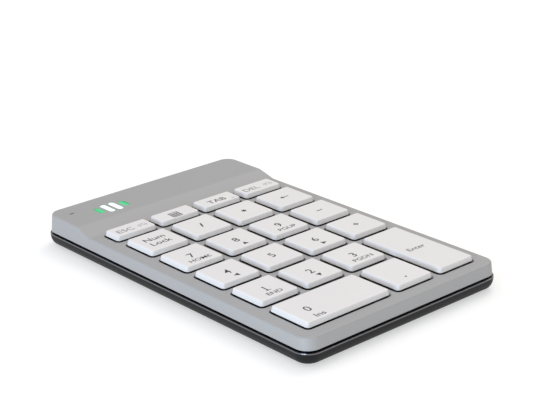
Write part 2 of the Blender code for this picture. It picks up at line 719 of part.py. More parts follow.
def make_tray():
    """The dark tray: curved sides, a polished lip, an upstand inside the cover, ribs."""
    face_low = LIP_TOP - LIP_FACE
    curve_steps = 4
    sections = []
    for step in range(curve_steps + 1):
        angle = pi / 2 * step / curve_steps
        inset = TRAY_TUCK * (1 - sin(angle))
        sections.append((case_outline(inset), UNDERSIDE + (face_low - UNDERSIDE) * (1 - cos(angle))))
    sections += [
        (case_outline(0), LIP_TOP - FIT_GAP / 2),
        (case_outline(FIT_GAP / 2), LIP_TOP),
        (case_outline(UPSTAND_INSET), LIP_TOP),
        (case_outline(UPSTAND_INSET), UPSTAND_TOP),
        (case_outline(INNER_INSET), UPSTAND_TOP),
        (case_outline(INNER_INSET), FLOOR),
    ]
    tray = add_object("bottom_case", loft_mesh("bottom_case", sections), keypad, tray_black)
    combine(tray, add_cutter("tray_ribs", boxes_mesh("tray_ribs", rib_boxes())), "UNION")
    recesses = [rounded_rectangle(*grown(foot_corners(end), FIT_GAP), FOOT_WIDTH / 2) for end in (-1, 1)]
    pockets = sheet_mesh("foot_recesses", recesses, UNDERSIDE - FOOT_RECESS, UNDERSIDE + FOOT_RECESS)
    combine(tray, add_cutter("foot_recesses", pockets), "DIFFERENCE")


def make_feet():
    """Two long rubber feet, stuck in recesses of the tray."""
    for name, end in (("front_foot", -1), ("rear_foot", 1)):
        outline = rounded_rectangle(*foot_corners(end), FOOT_WIDTH / 2 - FIT_GAP)
        mesh = sheet_mesh(name, [outline], 0, UNDERSIDE + FOOT_RECESS - FIT_GAP)
        add_object(name, mesh, keypad, rubber)


def make_board():
    """The circuit board with its chips, and a light under each lens."""
    low = BOARD_TOP - BOARD_SHEET
    outline = rounded_rectangle((BOARD_LEFT_X, BOARD_FRONT_Y), (BOARD_RIGHT_X, BOARD_REAR_Y),
                                LIP_RADIUS - INNER_INSET)
    board = add_object("control_board", sheet_mesh("control_board", [outline], low, BOARD_TOP),
                       keypad, board_green)
    chip_low = BOARD_TOP - BOARD_SHEET / 2
    chips = []
    for x, width, height in CHIPS:
        chips.append(((x - width / 2, BOARD_FRONT_Y + width / 2, chip_low),
                      (x + width / 2, BOARD_FRONT_Y + width * 1.5, BOARD_TOP + height)))
    combine(board, add_cutter("chips", boxes_mesh("chips", chips)), "UNION")


def make_battery():
    """A flat lithium pouch cell that lies on the tray's floor."""
    outline = rounded_rectangle(*battery_corners(), 2 * FIT_GAP)
    low = FLOOR + FIT_GAP
    mesh = sheet_mesh("battery", [outline], low, low + BATTERY_HEIGHT)
    add_object("battery", mesh, keypad, pouch_silver)


def make_socket():
    """The charging socket: a drawn steel shell round a tongue."""
    rear = REAR_WALL_Y - FIT_GAP
    front = rear - SOCKET_LENGTH
    block = wall_mesh("charging_socket", [socket_outline(0)], front, rear)
    socket = add_object("charging_socket", block, keypad, steel)
    hollow = wall_mesh("socket_hollow", [socket_outline(-SOCKET_WALL)], front + 3 * SOCKET_WALL,
                       rear + SOCKET_WALL)
    cavity = add_cutter("socket_hollow", hollow)
    tongue_half = SOCKET_WIDTH / 2 - 3 * SOCKET_TONGUE
    tongue_low = (SOCKET_X - tongue_half, front, SOCKET_Z - SOCKET_TONGUE / 2)
    tongue_high = (SOCKET_X + tongue_half, rear - SOCKET_TONGUE, SOCKET_Z + SOCKET_TONGUE / 2)
    tongue = boxes_mesh("socket_tongue", [(tongue_low, tongue_high)])
    combine(cavity, add_cutter("socket_tongue", tongue), "DIFFERENCE")
    combine(socket, cavity, "DIFFERENCE")


def make_power_switch():
    """A slide switch: a housing on the board and a slider that shows in the rear wall."""
    low, high = knob_corners()
    flange_rear = REAR_INSIDE_Y - FIT_GAP
    flange_front = flange_rear - FLANGE_SHEET
    flange_half = KNOB_WIDTH / 2 + SWITCH_TRAVEL + FLANGE_LAP
    flange_low = (SWITCH_X - flange_half, flange_front, low[1] - FIT_GAP)
    flange_high = (SWITCH_X + flange_half, flange_rear, high[1] + FIT_GAP)
    flange = boxes_mesh("power_slider", [(flange_low, flange_high)])
    slider = add_object("power_slider", flange, keypad, slider_black)
    knob_low = (low[0], flange_rear - FLANGE_SHEET / 2, low[1])
    knob_high = (high[0], REAR_WALL_Y + KNOB_PROUD, high[1])
    knob = boxes_mesh("slider_knob", [(knob_low, knob_high)])
    combine(slider, add_cutter("slider_knob", knob), "UNION")

    housing_rear = flange_front - FIT_GAP
    half = flange_half + SWITCH_TRAVEL
    housing_low = (SWITCH_X - half, housing_rear - SWITCH_DEPTH, BOARD_TOP + FIT_GAP)
    housing_high = (SWITCH_X + half, housing_rear, high[1] + FIT_GAP)
    add_object("power_switch", boxes_mesh("power_switch", [(housing_low, housing_high)]), keypad, steel)


for old in list(bpy.data.objects):
    bpy.data.objects.remove(old)
keypad = bpy.data.collections.new("keypad")
cutters = bpy.data.collections.new("cutters")
bpy.context.scene.collection.children.link(keypad)
bpy.context.scene.collection.children.link(cutters)

cover_silver = make_material("cover_silver", srgb(168, 169, 172), 0.45, 0.35)
tray_black = make_material("tray_black", srgb(44, 45, 48), 0.18)
cap_white = make_material("cap_white", srgb(230, 229, 231), 0.42)
lever_plastic = make_material("lever_plastic", srgb(58, 59, 62), 0.5)
silicone = make_material("silicone", srgb(58, 59, 62), 0.6)
foil = make_material("foil", srgb(42, 43, 46), 0.3)
steel = make_material("steel", srgb(176, 178, 180), 0.35, 1.0)
rubber = make_material("rubber", srgb(30, 30, 31), 0.8)
board_green = make_material("board_green", srgb(28, 82, 52), 0.4)
pouch_silver = make_material("pouch_silver", srgb(190, 192, 194), 0.3, 0.8)
lit_green = make_material("lit_green", srgb(60, 214, 140), 0.25, glow=1.0)
smoke = make_material("smoke", srgb(70, 72, 76), 0.2)
slider_black = make_material("slider_black", srgb(34, 34, 36), 0.5)

make_cover()
make_tray()
make_feet()
make_support_plate()
make_membrane()
make_dome_mat()
for key_name, *key_cell in KEYS:
    key_corners = opening_corners(*key_cell)
    make_keycap(key_name, key_corners)
    make_levers(key_name.replace("key_", "levers_"), key_corners)
    if key_name == "key_0":
        make_stabiliser("stabiliser_0", key_corners, along_y=False)
    if key_name == "key_enter":
        make_stabiliser("stabiliser_enter", key_corners, along_y=True)
make_board()
make_battery()
make_socket()
make_power_switch()
make_lenses()
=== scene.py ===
"""The finished look of a slim numeric keypad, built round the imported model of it.

Metres, +Z up, the origin in the middle of the footprint on the desk. +X is to the user's right
and +Y away from the user. The sections follow the keypad as it is put together, from the tray up.
"""
from math import cos, pi, radians, sin

import bmesh
import bpy
from mathutils import Matrix, Vector


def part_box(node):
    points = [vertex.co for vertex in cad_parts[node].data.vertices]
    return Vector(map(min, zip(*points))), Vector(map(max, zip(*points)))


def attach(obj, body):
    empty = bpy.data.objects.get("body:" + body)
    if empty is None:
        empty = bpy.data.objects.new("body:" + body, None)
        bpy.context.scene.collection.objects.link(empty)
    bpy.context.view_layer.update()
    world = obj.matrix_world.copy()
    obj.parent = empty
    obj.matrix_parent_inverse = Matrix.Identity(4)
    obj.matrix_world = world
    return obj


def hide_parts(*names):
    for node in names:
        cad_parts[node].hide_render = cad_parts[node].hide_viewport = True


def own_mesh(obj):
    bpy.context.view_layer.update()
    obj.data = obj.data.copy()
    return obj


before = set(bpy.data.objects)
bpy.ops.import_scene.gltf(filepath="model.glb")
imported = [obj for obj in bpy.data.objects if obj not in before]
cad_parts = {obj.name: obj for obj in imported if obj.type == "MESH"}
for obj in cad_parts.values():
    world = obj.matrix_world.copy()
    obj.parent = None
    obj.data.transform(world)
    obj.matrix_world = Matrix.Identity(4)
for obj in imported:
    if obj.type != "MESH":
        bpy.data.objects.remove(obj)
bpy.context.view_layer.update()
scene = bpy.context.scene

# ------------------------------
# The studio: a pale floor that runs out of view on every side, a surround that is bright and cool
# at the left rear and warm in front, and two soft lamps. The camera looks down over the front
# left corner.
# ------------------------------
FLOOR_SIZE = 12.0
CAMERA_PLACE = Vector((-0.30834, -0.36459, 0.20684))
CAMERA_AIM = Vector((0.02217, 0.01864, 0.00970))
CAMERA_ROLL = radians(-1.548)
CAMERA_LENS = 100.0
CAMERA_SENSOR = 36.0
FLOOR_GLOW = 0.50
SKY_TOWARDS = (-0.60, 0.35, 0.45)
SKY_DIM = (0.48, 0.42, 0.29, 1)
SKY_BRIGHT = (0.86, 0.87, 0.93, 1)


class Wire:
    """An output in a node tree. Arithmetic on it adds Math nodes; node() adds any other node."""

    def __init__(self, tree, socket=None):
        self.tree = tree
        self.socket = socket

    def node(self, kind, settings=None, sockets=None, output=0):
        """Add a node: its settings, then its sockets' values or wires. Returns one output."""
        made = self.tree.nodes.new(kind)
        for name, value in (settings or {}).items():
            if name == "stops":
                ramp = made.color_ramp.elements
                for position, _ in value[1:-1]:
                    ramp.new(position)
                for element, (position, colour) in zip(ramp, value):
                    element.position = position
                    element.color = colour
            else:
                setattr(made, name, value)
        for name, value in (sockets or {}).items():
            if isinstance(value, Wire):
                self.tree.links.new(value.socket, made.inputs[name])
            else:
                made.inputs[name].default_value = value
        return Wire(self.tree, made.outputs[output] if made.outputs else None)

    def maths(self, operation, first, second=0.0):
        """A Math node on two values or wires."""
        return self.node("ShaderNodeMath", {"operation": operation}, {0: first, 1: second})

    def __add__(self, other):
        return self.maths("ADD", self, other)

    def __radd__(self, other):
        return self.maths("ADD", other, self)

    def __sub__(self, other):
        return self.maths("SUBTRACT", self, other)

    def __rsub__(self, other):
        return self.maths("SUBTRACT", other, self)

    def __mul__(self, other):
        return self.maths("MULTIPLY", self, other)

    def __rmul__(self, other):
        return self.maths("MULTIPLY", other, self)

    def __truediv__(self, other):
        return self.maths("DIVIDE", self, other)

    def __rtruediv__(self, other):
        return self.maths("DIVIDE", other, self)

    def noise(self, place, scale, detail=2.0):
        """Cloudy noise from 0 to 1 in object space."""
        return self.node("ShaderNodeTexNoise", {}, {
            "Vector": place, "Scale": scale, "Detail": detail}, "Fac")

    def bump(self, strength, distance, height):
        """A normal tilted by a height."""
        return self.node("ShaderNodeBump", {}, {
            "Strength": strength, "Distance": distance, "Height": height}, "Normal")

    def surface(self, sockets):
        """The shader of a finish."""
        return self.node("ShaderNodeBsdfPrincipled", {}, sockets)

    def mixed(self, factor, first, second):
        """A colour between two colours."""
        return self.node("ShaderNodeMix", {"data_type": "RGBA"}, {0: factor, 6: first, 7: second}, 2)


def srgb(red, green, blue):
    """A screen colour, 0 to 255, as the linear colour that shaders use."""
    channels = [value / 255 for value in (red, green, blue)]
    linear = [c / 12.92 if c <= 0.04045 else ((c + 0.055) / 1.055) ** 2.4 for c in channels]
    return (*linear, 1.0)


def make_finish(name, paint):
    """A material whose shader comes from paint(), which gets a bare wire and the place."""
    material = bpy.data.materials.new(name)
    material.use_nodes = True
    material.node_tree.nodes.clear()
    wire = Wire(material.node_tree)
    place = wire.node("ShaderNodeTexCoord", output="Object")
    wire.node("ShaderNodeOutputMaterial", {}, {"Surface": paint(wire, place)})
    return material


def add_piece(name, mesh, *finishes):
    """An object at the origin that holds a finished mesh and its finishes."""
    mesh.name = name
    mesh.materials.clear()
    for finish in finishes:
        mesh.materials.append(finish)
    piece = bpy.data.objects.new(name, mesh)
    scene.collection.objects.link(piece)
    return piece


def add_lamp(name, place, aim, size, power, colour):
    """A soft square lamp turned towards a point."""
    light = bpy.data.lights.new(name, "AREA")
    light.size = size
    light.energy = power
    light.color = colour
    lamp = bpy.data.objects.new(name, light)
    scene.collection.objects.link(lamp)
    lamp.location = place
    lamp.rotation_euler = (Vector(aim) - Vector(place)).to_track_quat("-Z", "Y").to_euler()


def paint_floor(wire, place):
    """White card over a light box, so that shadows on it stay pale."""
    cloud = wire.noise(place, 6.0)
    tone = wire.mixed(cloud, (0.54, 0.54, 0.54, 1), (0.56, 0.56, 0.56, 1))
    return wire.surface({
        "Base Color": tone, "Roughness": 0.9, "Specular IOR Level": 0.0,
        "Emission Color": (1, 1, 1, 1), "Emission Strength": FLOOR_GLOW})


floor_shape = bmesh.new()
bmesh.ops.create_grid(floor_shape, x_segments=4, y_segments=4, size=FLOOR_SIZE / 2)
floor_mesh = bpy.data.meshes.new("floor")
floor_shape.to_mesh(floor_mesh)
floor_shape.free()
floor = add_piece("floor", floor_mesh, make_finish("white_card", paint_floor))

surround = bpy.data.worlds.new("surround")
surround.use_nodes = True
surround.node_tree.nodes.clear()
sky = Wire(surround.node_tree)
outward = sky.node("ShaderNodeTexCoord", output="Generated")
towards = sky.node("ShaderNodeVectorMath", {"operation": "DOT_PRODUCT"},
                   {0: outward, 1: Vector(SKY_TOWARDS).normalized()}, "Value")
light = sky.node("ShaderNodeBackground", {}, {
    "Color": sky.mixed(0.5 + 0.5 * towards, SKY_DIM, SKY_BRIGHT), "Strength": 1.0})
sky.node("ShaderNodeOutputWorld", {}, {"Surface": light})
scene.world = surround
scene.view_settings.view_transform = "Standard"

add_lamp("corner_lamp", (-0.66, -0.30, 0.10), (0, 0, 0), size=0.30, power=3.1, colour=(0.66, 0.84, 1.0))
add_lamp("top_lamp", (0.60, 0.20, 0.95), (0, 0, 0), size=0.6, power=4.0, colour=(1.0, 0.96, 0.915))

camera_data = bpy.data.cameras.new("camera")
camera_data.lens = CAMERA_LENS
camera_data.sensor_width = CAMERA_SENSOR
camera = bpy.data.objects.new("camera", camera_data)
scene.collection.objects.link(camera)
looking = (CAMERA_AIM - CAMERA_PLACE).to_track_quat("-Z", "Y").to_matrix().to_4x4()
camera.matrix_world = (Matrix.Translation(CAMERA_PLACE) @ looking
                       @ Matrix.Rotation(CAMERA_ROLL, 4, "Z"))
scene.camera = camera

# ------------------------------
# The tray: a dish moulded in dark ABS and polished in the tool, which carries everything else.
# Its sides curve up to a flat lip; an upstand inside the lip enters the cover. The ribs under the
# plate and the board and the fences beside the cell are moulded in one with it.
# ------------------------------
LIP_RADIUS = 0.0055
CORNER_STEPS = 14
TRAY_TUCK = 0.0022
TRAY_LIP_TOP = 0.00495
TRAY_LIP_FACE = 0.0004
TRAY_LIP_EASE = 0.0002
TRAY_CURVE_STEPS = 12
MID_EASE = 0.3  # share of its reach at which an eased corner has its middle point
TRAY_FLOOR = 0.0022
UNDERSIDE_TOP = 0.00082
SIDE_BOTTOM = 0.00100
UNDERSIDE_INSET = 0.0004
LIP_POLISH_FROM = 0.00453
LIP_POLISH_BLEND = 0.00003
UPSTAND_INSET = 0.0020
UPSTAND_WALL = 0.0010
RIB_WALL = 0.0012
RIB_BEFORE_KEY = 0.00175
RIB_BEFORE_FUNCTION_KEY = 0.00182
FENCE_RISE = 0.0025
FENCE_SHORTER = 0.0010
FIT_GAP = 0.0003
FOOT_POCKET = 0.0006
LABEL_POCKET = 0.0002
LABEL_HALF = (0.024, 0.016)
LABEL_ROUND = 0.0020
WELD = 0.0000005
CUT_SPARE = 0.001

tray_low, tray_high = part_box("bottom_case")


def start_tree(name, inputs):
    """A new node tree with named inputs: its wire, and a wire from each input."""
    tree = bpy.data.node_groups.new(name, "GeometryNodeTree")
    for label, kind in inputs.items():
        tree.interface.new_socket(label, in_out="INPUT", socket_type="NodeSocket" + kind)
    tree.interface.new_socket("Geometry", in_out="OUTPUT", socket_type="NodeSocketGeometry")
    wire = Wire(tree)
    return wire, {label: wire.node("NodeGroupInput", output=label) for label in inputs}


def end_tree(wire, geometry, finish):
    """The end of a node tree: copies made real, then coated with their finish."""
    real = wire.node("GeometryNodeRealizeInstances", {}, {"Geometry": geometry})
    coated = wire.node("GeometryNodeSetMaterial", {}, {"Geometry": real, "Material": finish})
    wire.node("NodeGroupOutput", {}, {"Geometry": coated})
    return wire.tree


def rim_sweep_tree():
    """Node tree: carries a profile once round a rectangle with round corners."""
    wire, sizes = start_tree("rim_sweep", {
        "Width": "Float", "Depth": "Float", "Corner Radius": "Float", "Corner Steps": "Int",
        "Profile": "Object", "Finish": "Material"})
    plan = wire.node("GeometryNodeCurvePrimitiveQuadrilateral", {"mode": "RECTANGLE"},
                     {"Width": sizes["Width"], "Height": sizes["Depth"]})
    rounded = wire.node("GeometryNodeFilletCurve", {"mode": "POLY"}, {
        "Curve": plan, "Count": sizes["Corner Steps"], "Radius": sizes["Corner Radius"]})
    upright = wire.node("GeometryNodeSetCurveNormal", {"mode": "Z_UP"}, {"Curve": rounded})
    profile = wire.node("GeometryNodeObjectInfo", {}, {"Object": sizes["Profile"]}, "Geometry")
    skin = wire.node("GeometryNodeCurveToMesh", {}, {"Curve": upright, "Profile Curve": profile})
    return end_tree(wire, skin, sizes["Finish"])


def grown_mesh(name, tree, sizes):
    """The plain mesh that a node tree makes from its named sizes."""
    holder = bpy.data.objects.new(name, bpy.data.meshes.new(name))
    scene.collection.objects.link(holder)
    modifier = holder.modifiers.new(name, "NODES")
    modifier.node_group = tree
    for item in tree.interface.items_tree:
        if item.in_out == "INPUT" and item.name in sizes:
            modifier[item.identifier] = sizes[item.name]
    graph = bpy.context.evaluated_depsgraph_get()
    mesh = bpy.data.meshes.new_from_object(holder.evaluated_get(graph))
    holder.modifiers.clear()
    bpy.data.objects.remove(holder)
    return mesh


def swept_rim(name, low, high, radius, steps, profile, finish):
    """A closed body: a profile of (outward, height) points swept round a plan, ends filled."""
    outline = bpy.data.curves.new(name + "_profile", "CURVE")
    outline.dimensions = "2D"
    spline = outline.splines.new("POLY")
    spline.points.add(len(profile) - 1)
    for point, (outward, height) in zip(spline.points, profile):
        point.co = (outward, -height, 0, 1)
    guide = bpy.data.objects.new(name + "_profile", outline)
    scene.collection.objects.link(guide)
    mesh = grown_mesh(name, rim_sweep, {
        "Width": high[0] - low[0], "Depth": high[1] - low[1], "Corner Radius": radius,
        "Corner Steps": steps, "Profile": guide, "Finish": finish})
    bpy.data.objects.remove(guide)
    mesh.transform(Matrix.Translation(((low[0] + high[0]) / 2, (low[1] + high[1]) / 2, 0)))
    shape = bmesh.new()
    shape.from_mesh(mesh)
    bmesh.ops.remove_doubles(shape, verts=shape.verts, dist=WELD)
    bmesh.ops.holes_fill(shape, edges=[edge for edge in shape.edges if edge.is_boundary])
    bmesh.ops.recalc_face_normals(shape, faces=shape.faces)
    shape.to_mesh(mesh)
    shape.free()
    return mesh


def quarter_round(centre, radius, start, steps):
    """Points of a quarter circle, turning from the start angle to a quarter turn before it."""
    return [(centre[0] + radius * cos(start - pi / 2 * step / steps),
             centre[1] + radius * sin(start - pi / 2 * step / steps)) for step in range(steps + 1)]


def rounded_plan(low, high, radius, steps):
    """The outline of a rectangle with round corners, anticlockwise from the right rear."""
    corners = ((high[0] - radius, high[1] - radius, 0), (low[0] + radius, high[1] - radius, pi / 2),
               (low[0] + radius, low[1] + radius, pi), (high[0] - radius, low[1] + radius, 3 * pi / 2))
    return [(x + radius * cos(start + pi / 2 * step / steps), y + radius * sin(start + pi / 2 * step / steps))
            for x, y, start in corners for step in range(steps + 1)]


def loft_into(shape, sections):
    """Add a closed skin through outlines of equal point count, each at its own height."""
    loops = [[shape.verts.new((x, y, z)) for x, y in outline] for outline, z in sections]
    faces = []
    for lower, upper in zip(loops, loops[1:]):
        for index in range(len(lower)):
            after = (index + 1) % len(lower)
            faces.append(shape.faces.new((lower[index], lower[after], upper[after], upper[index])))
    faces.append(shape.faces.new(reversed(loops[0])))
    faces.append(shape.faces.new(loops[-1]))
    bmesh.ops.recalc_face_normals(shape, faces=faces)


def shape_mesh(name, shape):
    """The mesh of a finished bmesh, which is freed."""
    mesh = bpy.data.meshes.new(name)
    shape.to_mesh(mesh)
    shape.free()
    return mesh


def box_into(shape, low, high):
    """Add a box between two corners."""
    size = [top - bottom for bottom, top in zip(low, high)]
    middle = [(top + bottom) / 2 for bottom, top in zip(low, high)]
    bmesh.ops.create_cube(shape, size=1, matrix=Matrix.Translation(middle) @ Matrix.Diagonal((*size, 1)))


def cut_or_join(piece, tool_mesh, operation):
    """Cut a tool's shape out of a piece, or join it on, and keep the result as a plain mesh."""
    tool = bpy.data.objects.new("tool", tool_mesh)
    scene.collection.objects.link(tool)
    modifier = piece.modifiers.new("tool", "BOOLEAN")
    modifier.operation = operation
    modifier.solver = "EXACT"
    modifier.object = tool
    bake_modifiers(piece)
    bpy.data.objects.remove(tool)


def bake_modifiers(piece):
    """Turn a piece's modifiers into plain mesh."""
    graph = bpy.context.evaluated_depsgraph_get()
    mesh = bpy.data.meshes.new_from_object(piece.evaluated_get(graph))
    piece.modifiers.clear()
    name = piece.data.name
    piece.data = mesh
    mesh.name = name


def shade_smooth(piece, crease=32):
    """Smooth shading that keeps flat faces flat and creases sharp."""
    piece.data.shade_smooth()
    piece.data.set_sharp_from_angle(angle=radians(crease))
    modifier = piece.modifiers.new("even_normals", "WEIGHTED_NORMAL")
    modifier.keep_sharp = True
    modifier.weight = 60
    bake_modifiers(piece)


def paint_tray(wire, place):
    """Satin black sides, a bright polished lip, and spark texture on the underside."""
    height = wire.node("ShaderNodeSeparateXYZ", {}, {"Vector": place}, "Z")
    below = wire.node("ShaderNodeMapRange", {"clamp": True}, {
        "Value": height, "From Min": UNDERSIDE_TOP, "From Max": SIDE_BOTTOM,
        "To Min": 1.0, "To Max": 0.0}, "Result")
    lip = wire.node("ShaderNodeMapRange", {"clamp": True}, {
        "Value": height, "From Min": LIP_POLISH_FROM - LIP_POLISH_BLEND,
        "From Max": LIP_POLISH_FROM}, "Result")
    flow = wire.noise(place, 45.0)
    grain = wire.noise(place, 4200.0)
    black = wire.mixed(flow, srgb(19, 19, 20), srgb(24, 24, 25))
    bump = wire.bump(0.5, 0.00003, grain * below)
    return wire.surface({
        "Base Color": wire.mixed(lip, black, srgb(112, 112, 116)), "Metallic": lip,
        "Roughness": 0.42 + 0.08 * flow + below * (0.15 + 0.15 * grain) - lip * 0.26,
        "Normal": bump, "Specular IOR Level": 0.2})


rim_sweep = rim_sweep_tree()
tray_polish = make_finish("tray_polish", paint_tray)

face_low = TRAY_LIP_TOP - TRAY_LIP_FACE
tray_curve = []
for step in range(TRAY_CURVE_STEPS + 1):
    angle = pi / 2 * step / TRAY_CURVE_STEPS
    height = tray_low.z + (face_low - tray_low.z) * (1 - cos(angle))
    tray_curve.append((-TRAY_TUCK * (1 - sin(angle)), height))
tray_profile = [(-TRAY_TUCK - UNDERSIDE_INSET, tray_low.z)] + tray_curve + [
    (0, TRAY_LIP_TOP - TRAY_LIP_EASE),
    (-TRAY_LIP_EASE * MID_EASE, TRAY_LIP_TOP - TRAY_LIP_EASE * MID_EASE),
    (-TRAY_LIP_EASE, TRAY_LIP_TOP),
    (-UPSTAND_INSET, TRAY_LIP_TOP),
    (-UPSTAND_INSET, tray_high.z),
    (-UPSTAND_INSET - UPSTAND_WALL, tray_high.z),
    (-UPSTAND_INSET - UPSTAND_WALL, TRAY_FLOOR),
]
tray_mesh = swept_rim("tray", tray_low, tray_high, LIP_RADIUS, CORNER_STEPS, tray_profile, tray_polish)
tray = add_piece("tray", tray_mesh, tray_polish)

plate_low, plate_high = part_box("support_plate")
board_low, board_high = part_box("control_board")
cell_low, cell_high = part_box("battery")
rib_rows = [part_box(name)[0].y - RIB_BEFORE_KEY for name in ("key_1", "key_4", "key_7", "key_divide")]
rib_rows.append(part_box("key_tab")[0].y - RIB_BEFORE_FUNCTION_KEY)
ribs = bmesh.new()
for middle in rib_rows:
    box_into(ribs, (plate_low.x, middle - RIB_WALL / 2, TRAY_FLOOR - FIT_GAP),
             (plate_high.x, middle + RIB_WALL / 2, plate_low.z - FIT_GAP))
for x in (board_low.x + RIB_WALL, board_high.x - 2 * RIB_WALL):
    box_into(ribs, (x, board_low.y + RIB_WALL, TRAY_FLOOR - FIT_GAP),
             (x + RIB_WALL, board_high.y - RIB_WALL, board_low.z - FIT_GAP))
for x in (cell_low.x - FIT_GAP - RIB_WALL, cell_high.x + FIT_GAP):
    box_into(ribs, (x, cell_low.y, TRAY_FLOOR - FIT_GAP),
             (x + RIB_WALL, cell_high.y - FENCE_SHORTER, TRAY_FLOOR + FENCE_RISE))
cut_or_join(tray, shape_mesh("ribs", ribs), "UNION")

pockets = bmesh.new()
for foot in ("front_foot", "rear_foot"):
    low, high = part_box(foot)
    low = (low.x - FIT_GAP, low.y - FIT_GAP)
    high = (high.x + FIT_GAP, high.y + FIT_GAP)
    plan = rounded_plan(low, high, (high[1] - low[1]) / 2 - FIT_GAP / 2, 8)
    loft_into(pockets, ((plan, tray_low.z - CUT_SPARE), (plan, tray_low.z + FOOT_POCKET)))
label_plan = rounded_plan((-LABEL_HALF[0], -LABEL_HALF[1]), LABEL_HALF, LABEL_ROUND, 6)
loft_into(pockets, ((label_plan, tray_low.z - CUT_SPARE), (label_plan, tray_low.z + LABEL_POCKET)))
cut_or_join(tray, shape_mesh("pockets", pockets), "DIFFERENCE")
shade_smooth(tray)
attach(tray, "case")
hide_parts("bottom_case")

# ------------------------------
# The feet: two long strips of soft black rubber, stuck in pockets under the tray. The face that
# grips the desk is moulded with a row of low cross ribs.
# ------------------------------
FOOT_EASE = 0.00025
FOOT_RIB_RISE = 0.0003
FOOT_RIB_PITCH = 0.0015
FOOT_RIB_WIDTH = 0.0007


def row_tree():
    """Node tree: sets copies of a shape in a straight row."""
    wire, sizes = start_tree("row_of_shapes", {
        "Count": "Int", "Start": "Vector", "Step": "Vector", "Shape": "Object", "Finish": "Material"})
    row = wire.node("GeometryNodeMeshLine", {"mode": "OFFSET", "count_mode": "TOTAL"}, {
        "Count": sizes["Count"], "Start Location": sizes["Start"], "Offset": sizes["Step"]})
    shape = wire.node("GeometryNodeObjectInfo", {}, {"Object": sizes["Shape"]}, "Geometry")
    copies = wire.node("GeometryNodeInstanceOnPoints", {}, {"Points": row, "Instance": shape})
    return end_tree(wire, copies, sizes["Finish"])


def row_mesh(name, shape, count, start, step, finish):
    """A row of copies of a small shape, as one plain mesh."""
    sample = bpy.data.objects.new(name + "_sample", shape_mesh(name + "_sample", shape))
    scene.collection.objects.link(sample)
    mesh = grown_mesh(name, row_of_shapes, {
        "Count": count, "Start": start, "Step": step, "Shape": sample, "Finish": finish})
    bpy.data.objects.remove(sample)
    return mesh


def half_round_bar(radius, rise, length, axis, up, steps=6):
    """A bar with a flat back and a crowned face, lying along an axis and facing up."""
    shape = bmesh.new()
    along = Vector(axis)
    out = Vector(up)
    across = along.cross(out)
    loops = []
    for end in (-0.5, 0.5):
        loop = []
        for step in range(steps + 1):
            angle = pi * step / steps
            point = along * length * end + across * radius * cos(angle) + out * rise * sin(angle)
            loop.append(shape.verts.new(point))
        loops.append(loop)
    first, second = loops
    for index in range(len(first)):
        after = (index + 1) % len(first)
        shape.faces.new((first[index], first[after], second[after], second[index]))
    shape.faces.new(first)
    shape.faces.new(second)
    bmesh.ops.recalc_face_normals(shape, faces=shape.faces)
    return shape


def paint_rubber(wire, place):
    """Matt rubber, a little dusty where it has been touched."""
    dust = wire.noise(place, 180.0, 4.0)
    pores = wire.noise(place, 5200.0)
    bump = wire.bump(0.4, 0.00002, pores)
    return wire.surface({
        "Base Color": wire.mixed(dust, srgb(25, 25, 26), srgb(41, 41, 42)),
        "Roughness": 0.72 + 0.2 * dust, "Normal": bump})


row_of_shapes = row_tree()
soft_rubber = make_finish("soft_rubber", paint_rubber)

for foot in ("front_foot", "rear_foot"):
    low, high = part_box(foot)
    half_width = (high.y - low.y) / 2
    face = low.z + FOOT_RIB_RISE
    sections = []
    for inset, height in ((FOOT_EASE, face), (FOOT_EASE * MID_EASE, face + FOOT_EASE * MID_EASE),
                          (0, face + FOOT_EASE), (0, high.z)):
        plan = rounded_plan((low.x + inset, low.y + inset), (high.x - inset, high.y - inset),
                            half_width - FIT_GAP - inset, 8)
        sections.append((plan, height))
    strip = bmesh.new()
    loft_into(strip, sections)
    ribs_span = high.x - low.x - 2 * half_width
    rib_count = round(ribs_span / FOOT_RIB_PITCH) + 1
    rib_shape = half_round_bar(FOOT_RIB_WIDTH / 2, FOOT_RIB_RISE, 2 * (half_width - FOOT_EASE * 2),
                               (0, 1, 0), (0, 0, -1))
    rib_start = ((low.x + high.x - (rib_count - 1) * FOOT_RIB_PITCH) / 2, (low.y + high.y) / 2, face)
    rib_row = row_mesh(foot + "_ribs", rib_shape, rib_count, rib_start, (FOOT_RIB_PITCH, 0, 0), soft_rubber)
    strip.from_mesh(rib_row)
    foot_piece = add_piece(foot + "_strip", shape_mesh(foot, strip), soft_rubber)
    shade_smooth(foot_piece)
    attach(foot_piece, "case")
    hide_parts(foot)

# ------------------------------
# The cell and the board: a flat lithium pouch between two fences, and a green board with its
# controller, on two ribs beside it. Both lie under the raised housing.
# ------------------------------


def dress(nodes, finish):
    """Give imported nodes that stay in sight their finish."""
    for node in nodes:
        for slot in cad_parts[node].material_slots:
            slot.material = finish


def paint_pouch(wire, place):
    """Aluminium laminate: soft creases, brighter where it is drawn tight."""
    folds = wire.noise(place, 320.0, 3.0)
    bump = wire.bump(0.5, 0.0001, folds)
    return wire.surface({
        "Base Color": wire.mixed(folds, srgb(172, 174, 177), srgb(205, 207, 209)), "Metallic": 0.85,
        "Roughness": 0.24 + 0.2 * folds, "Normal": bump})


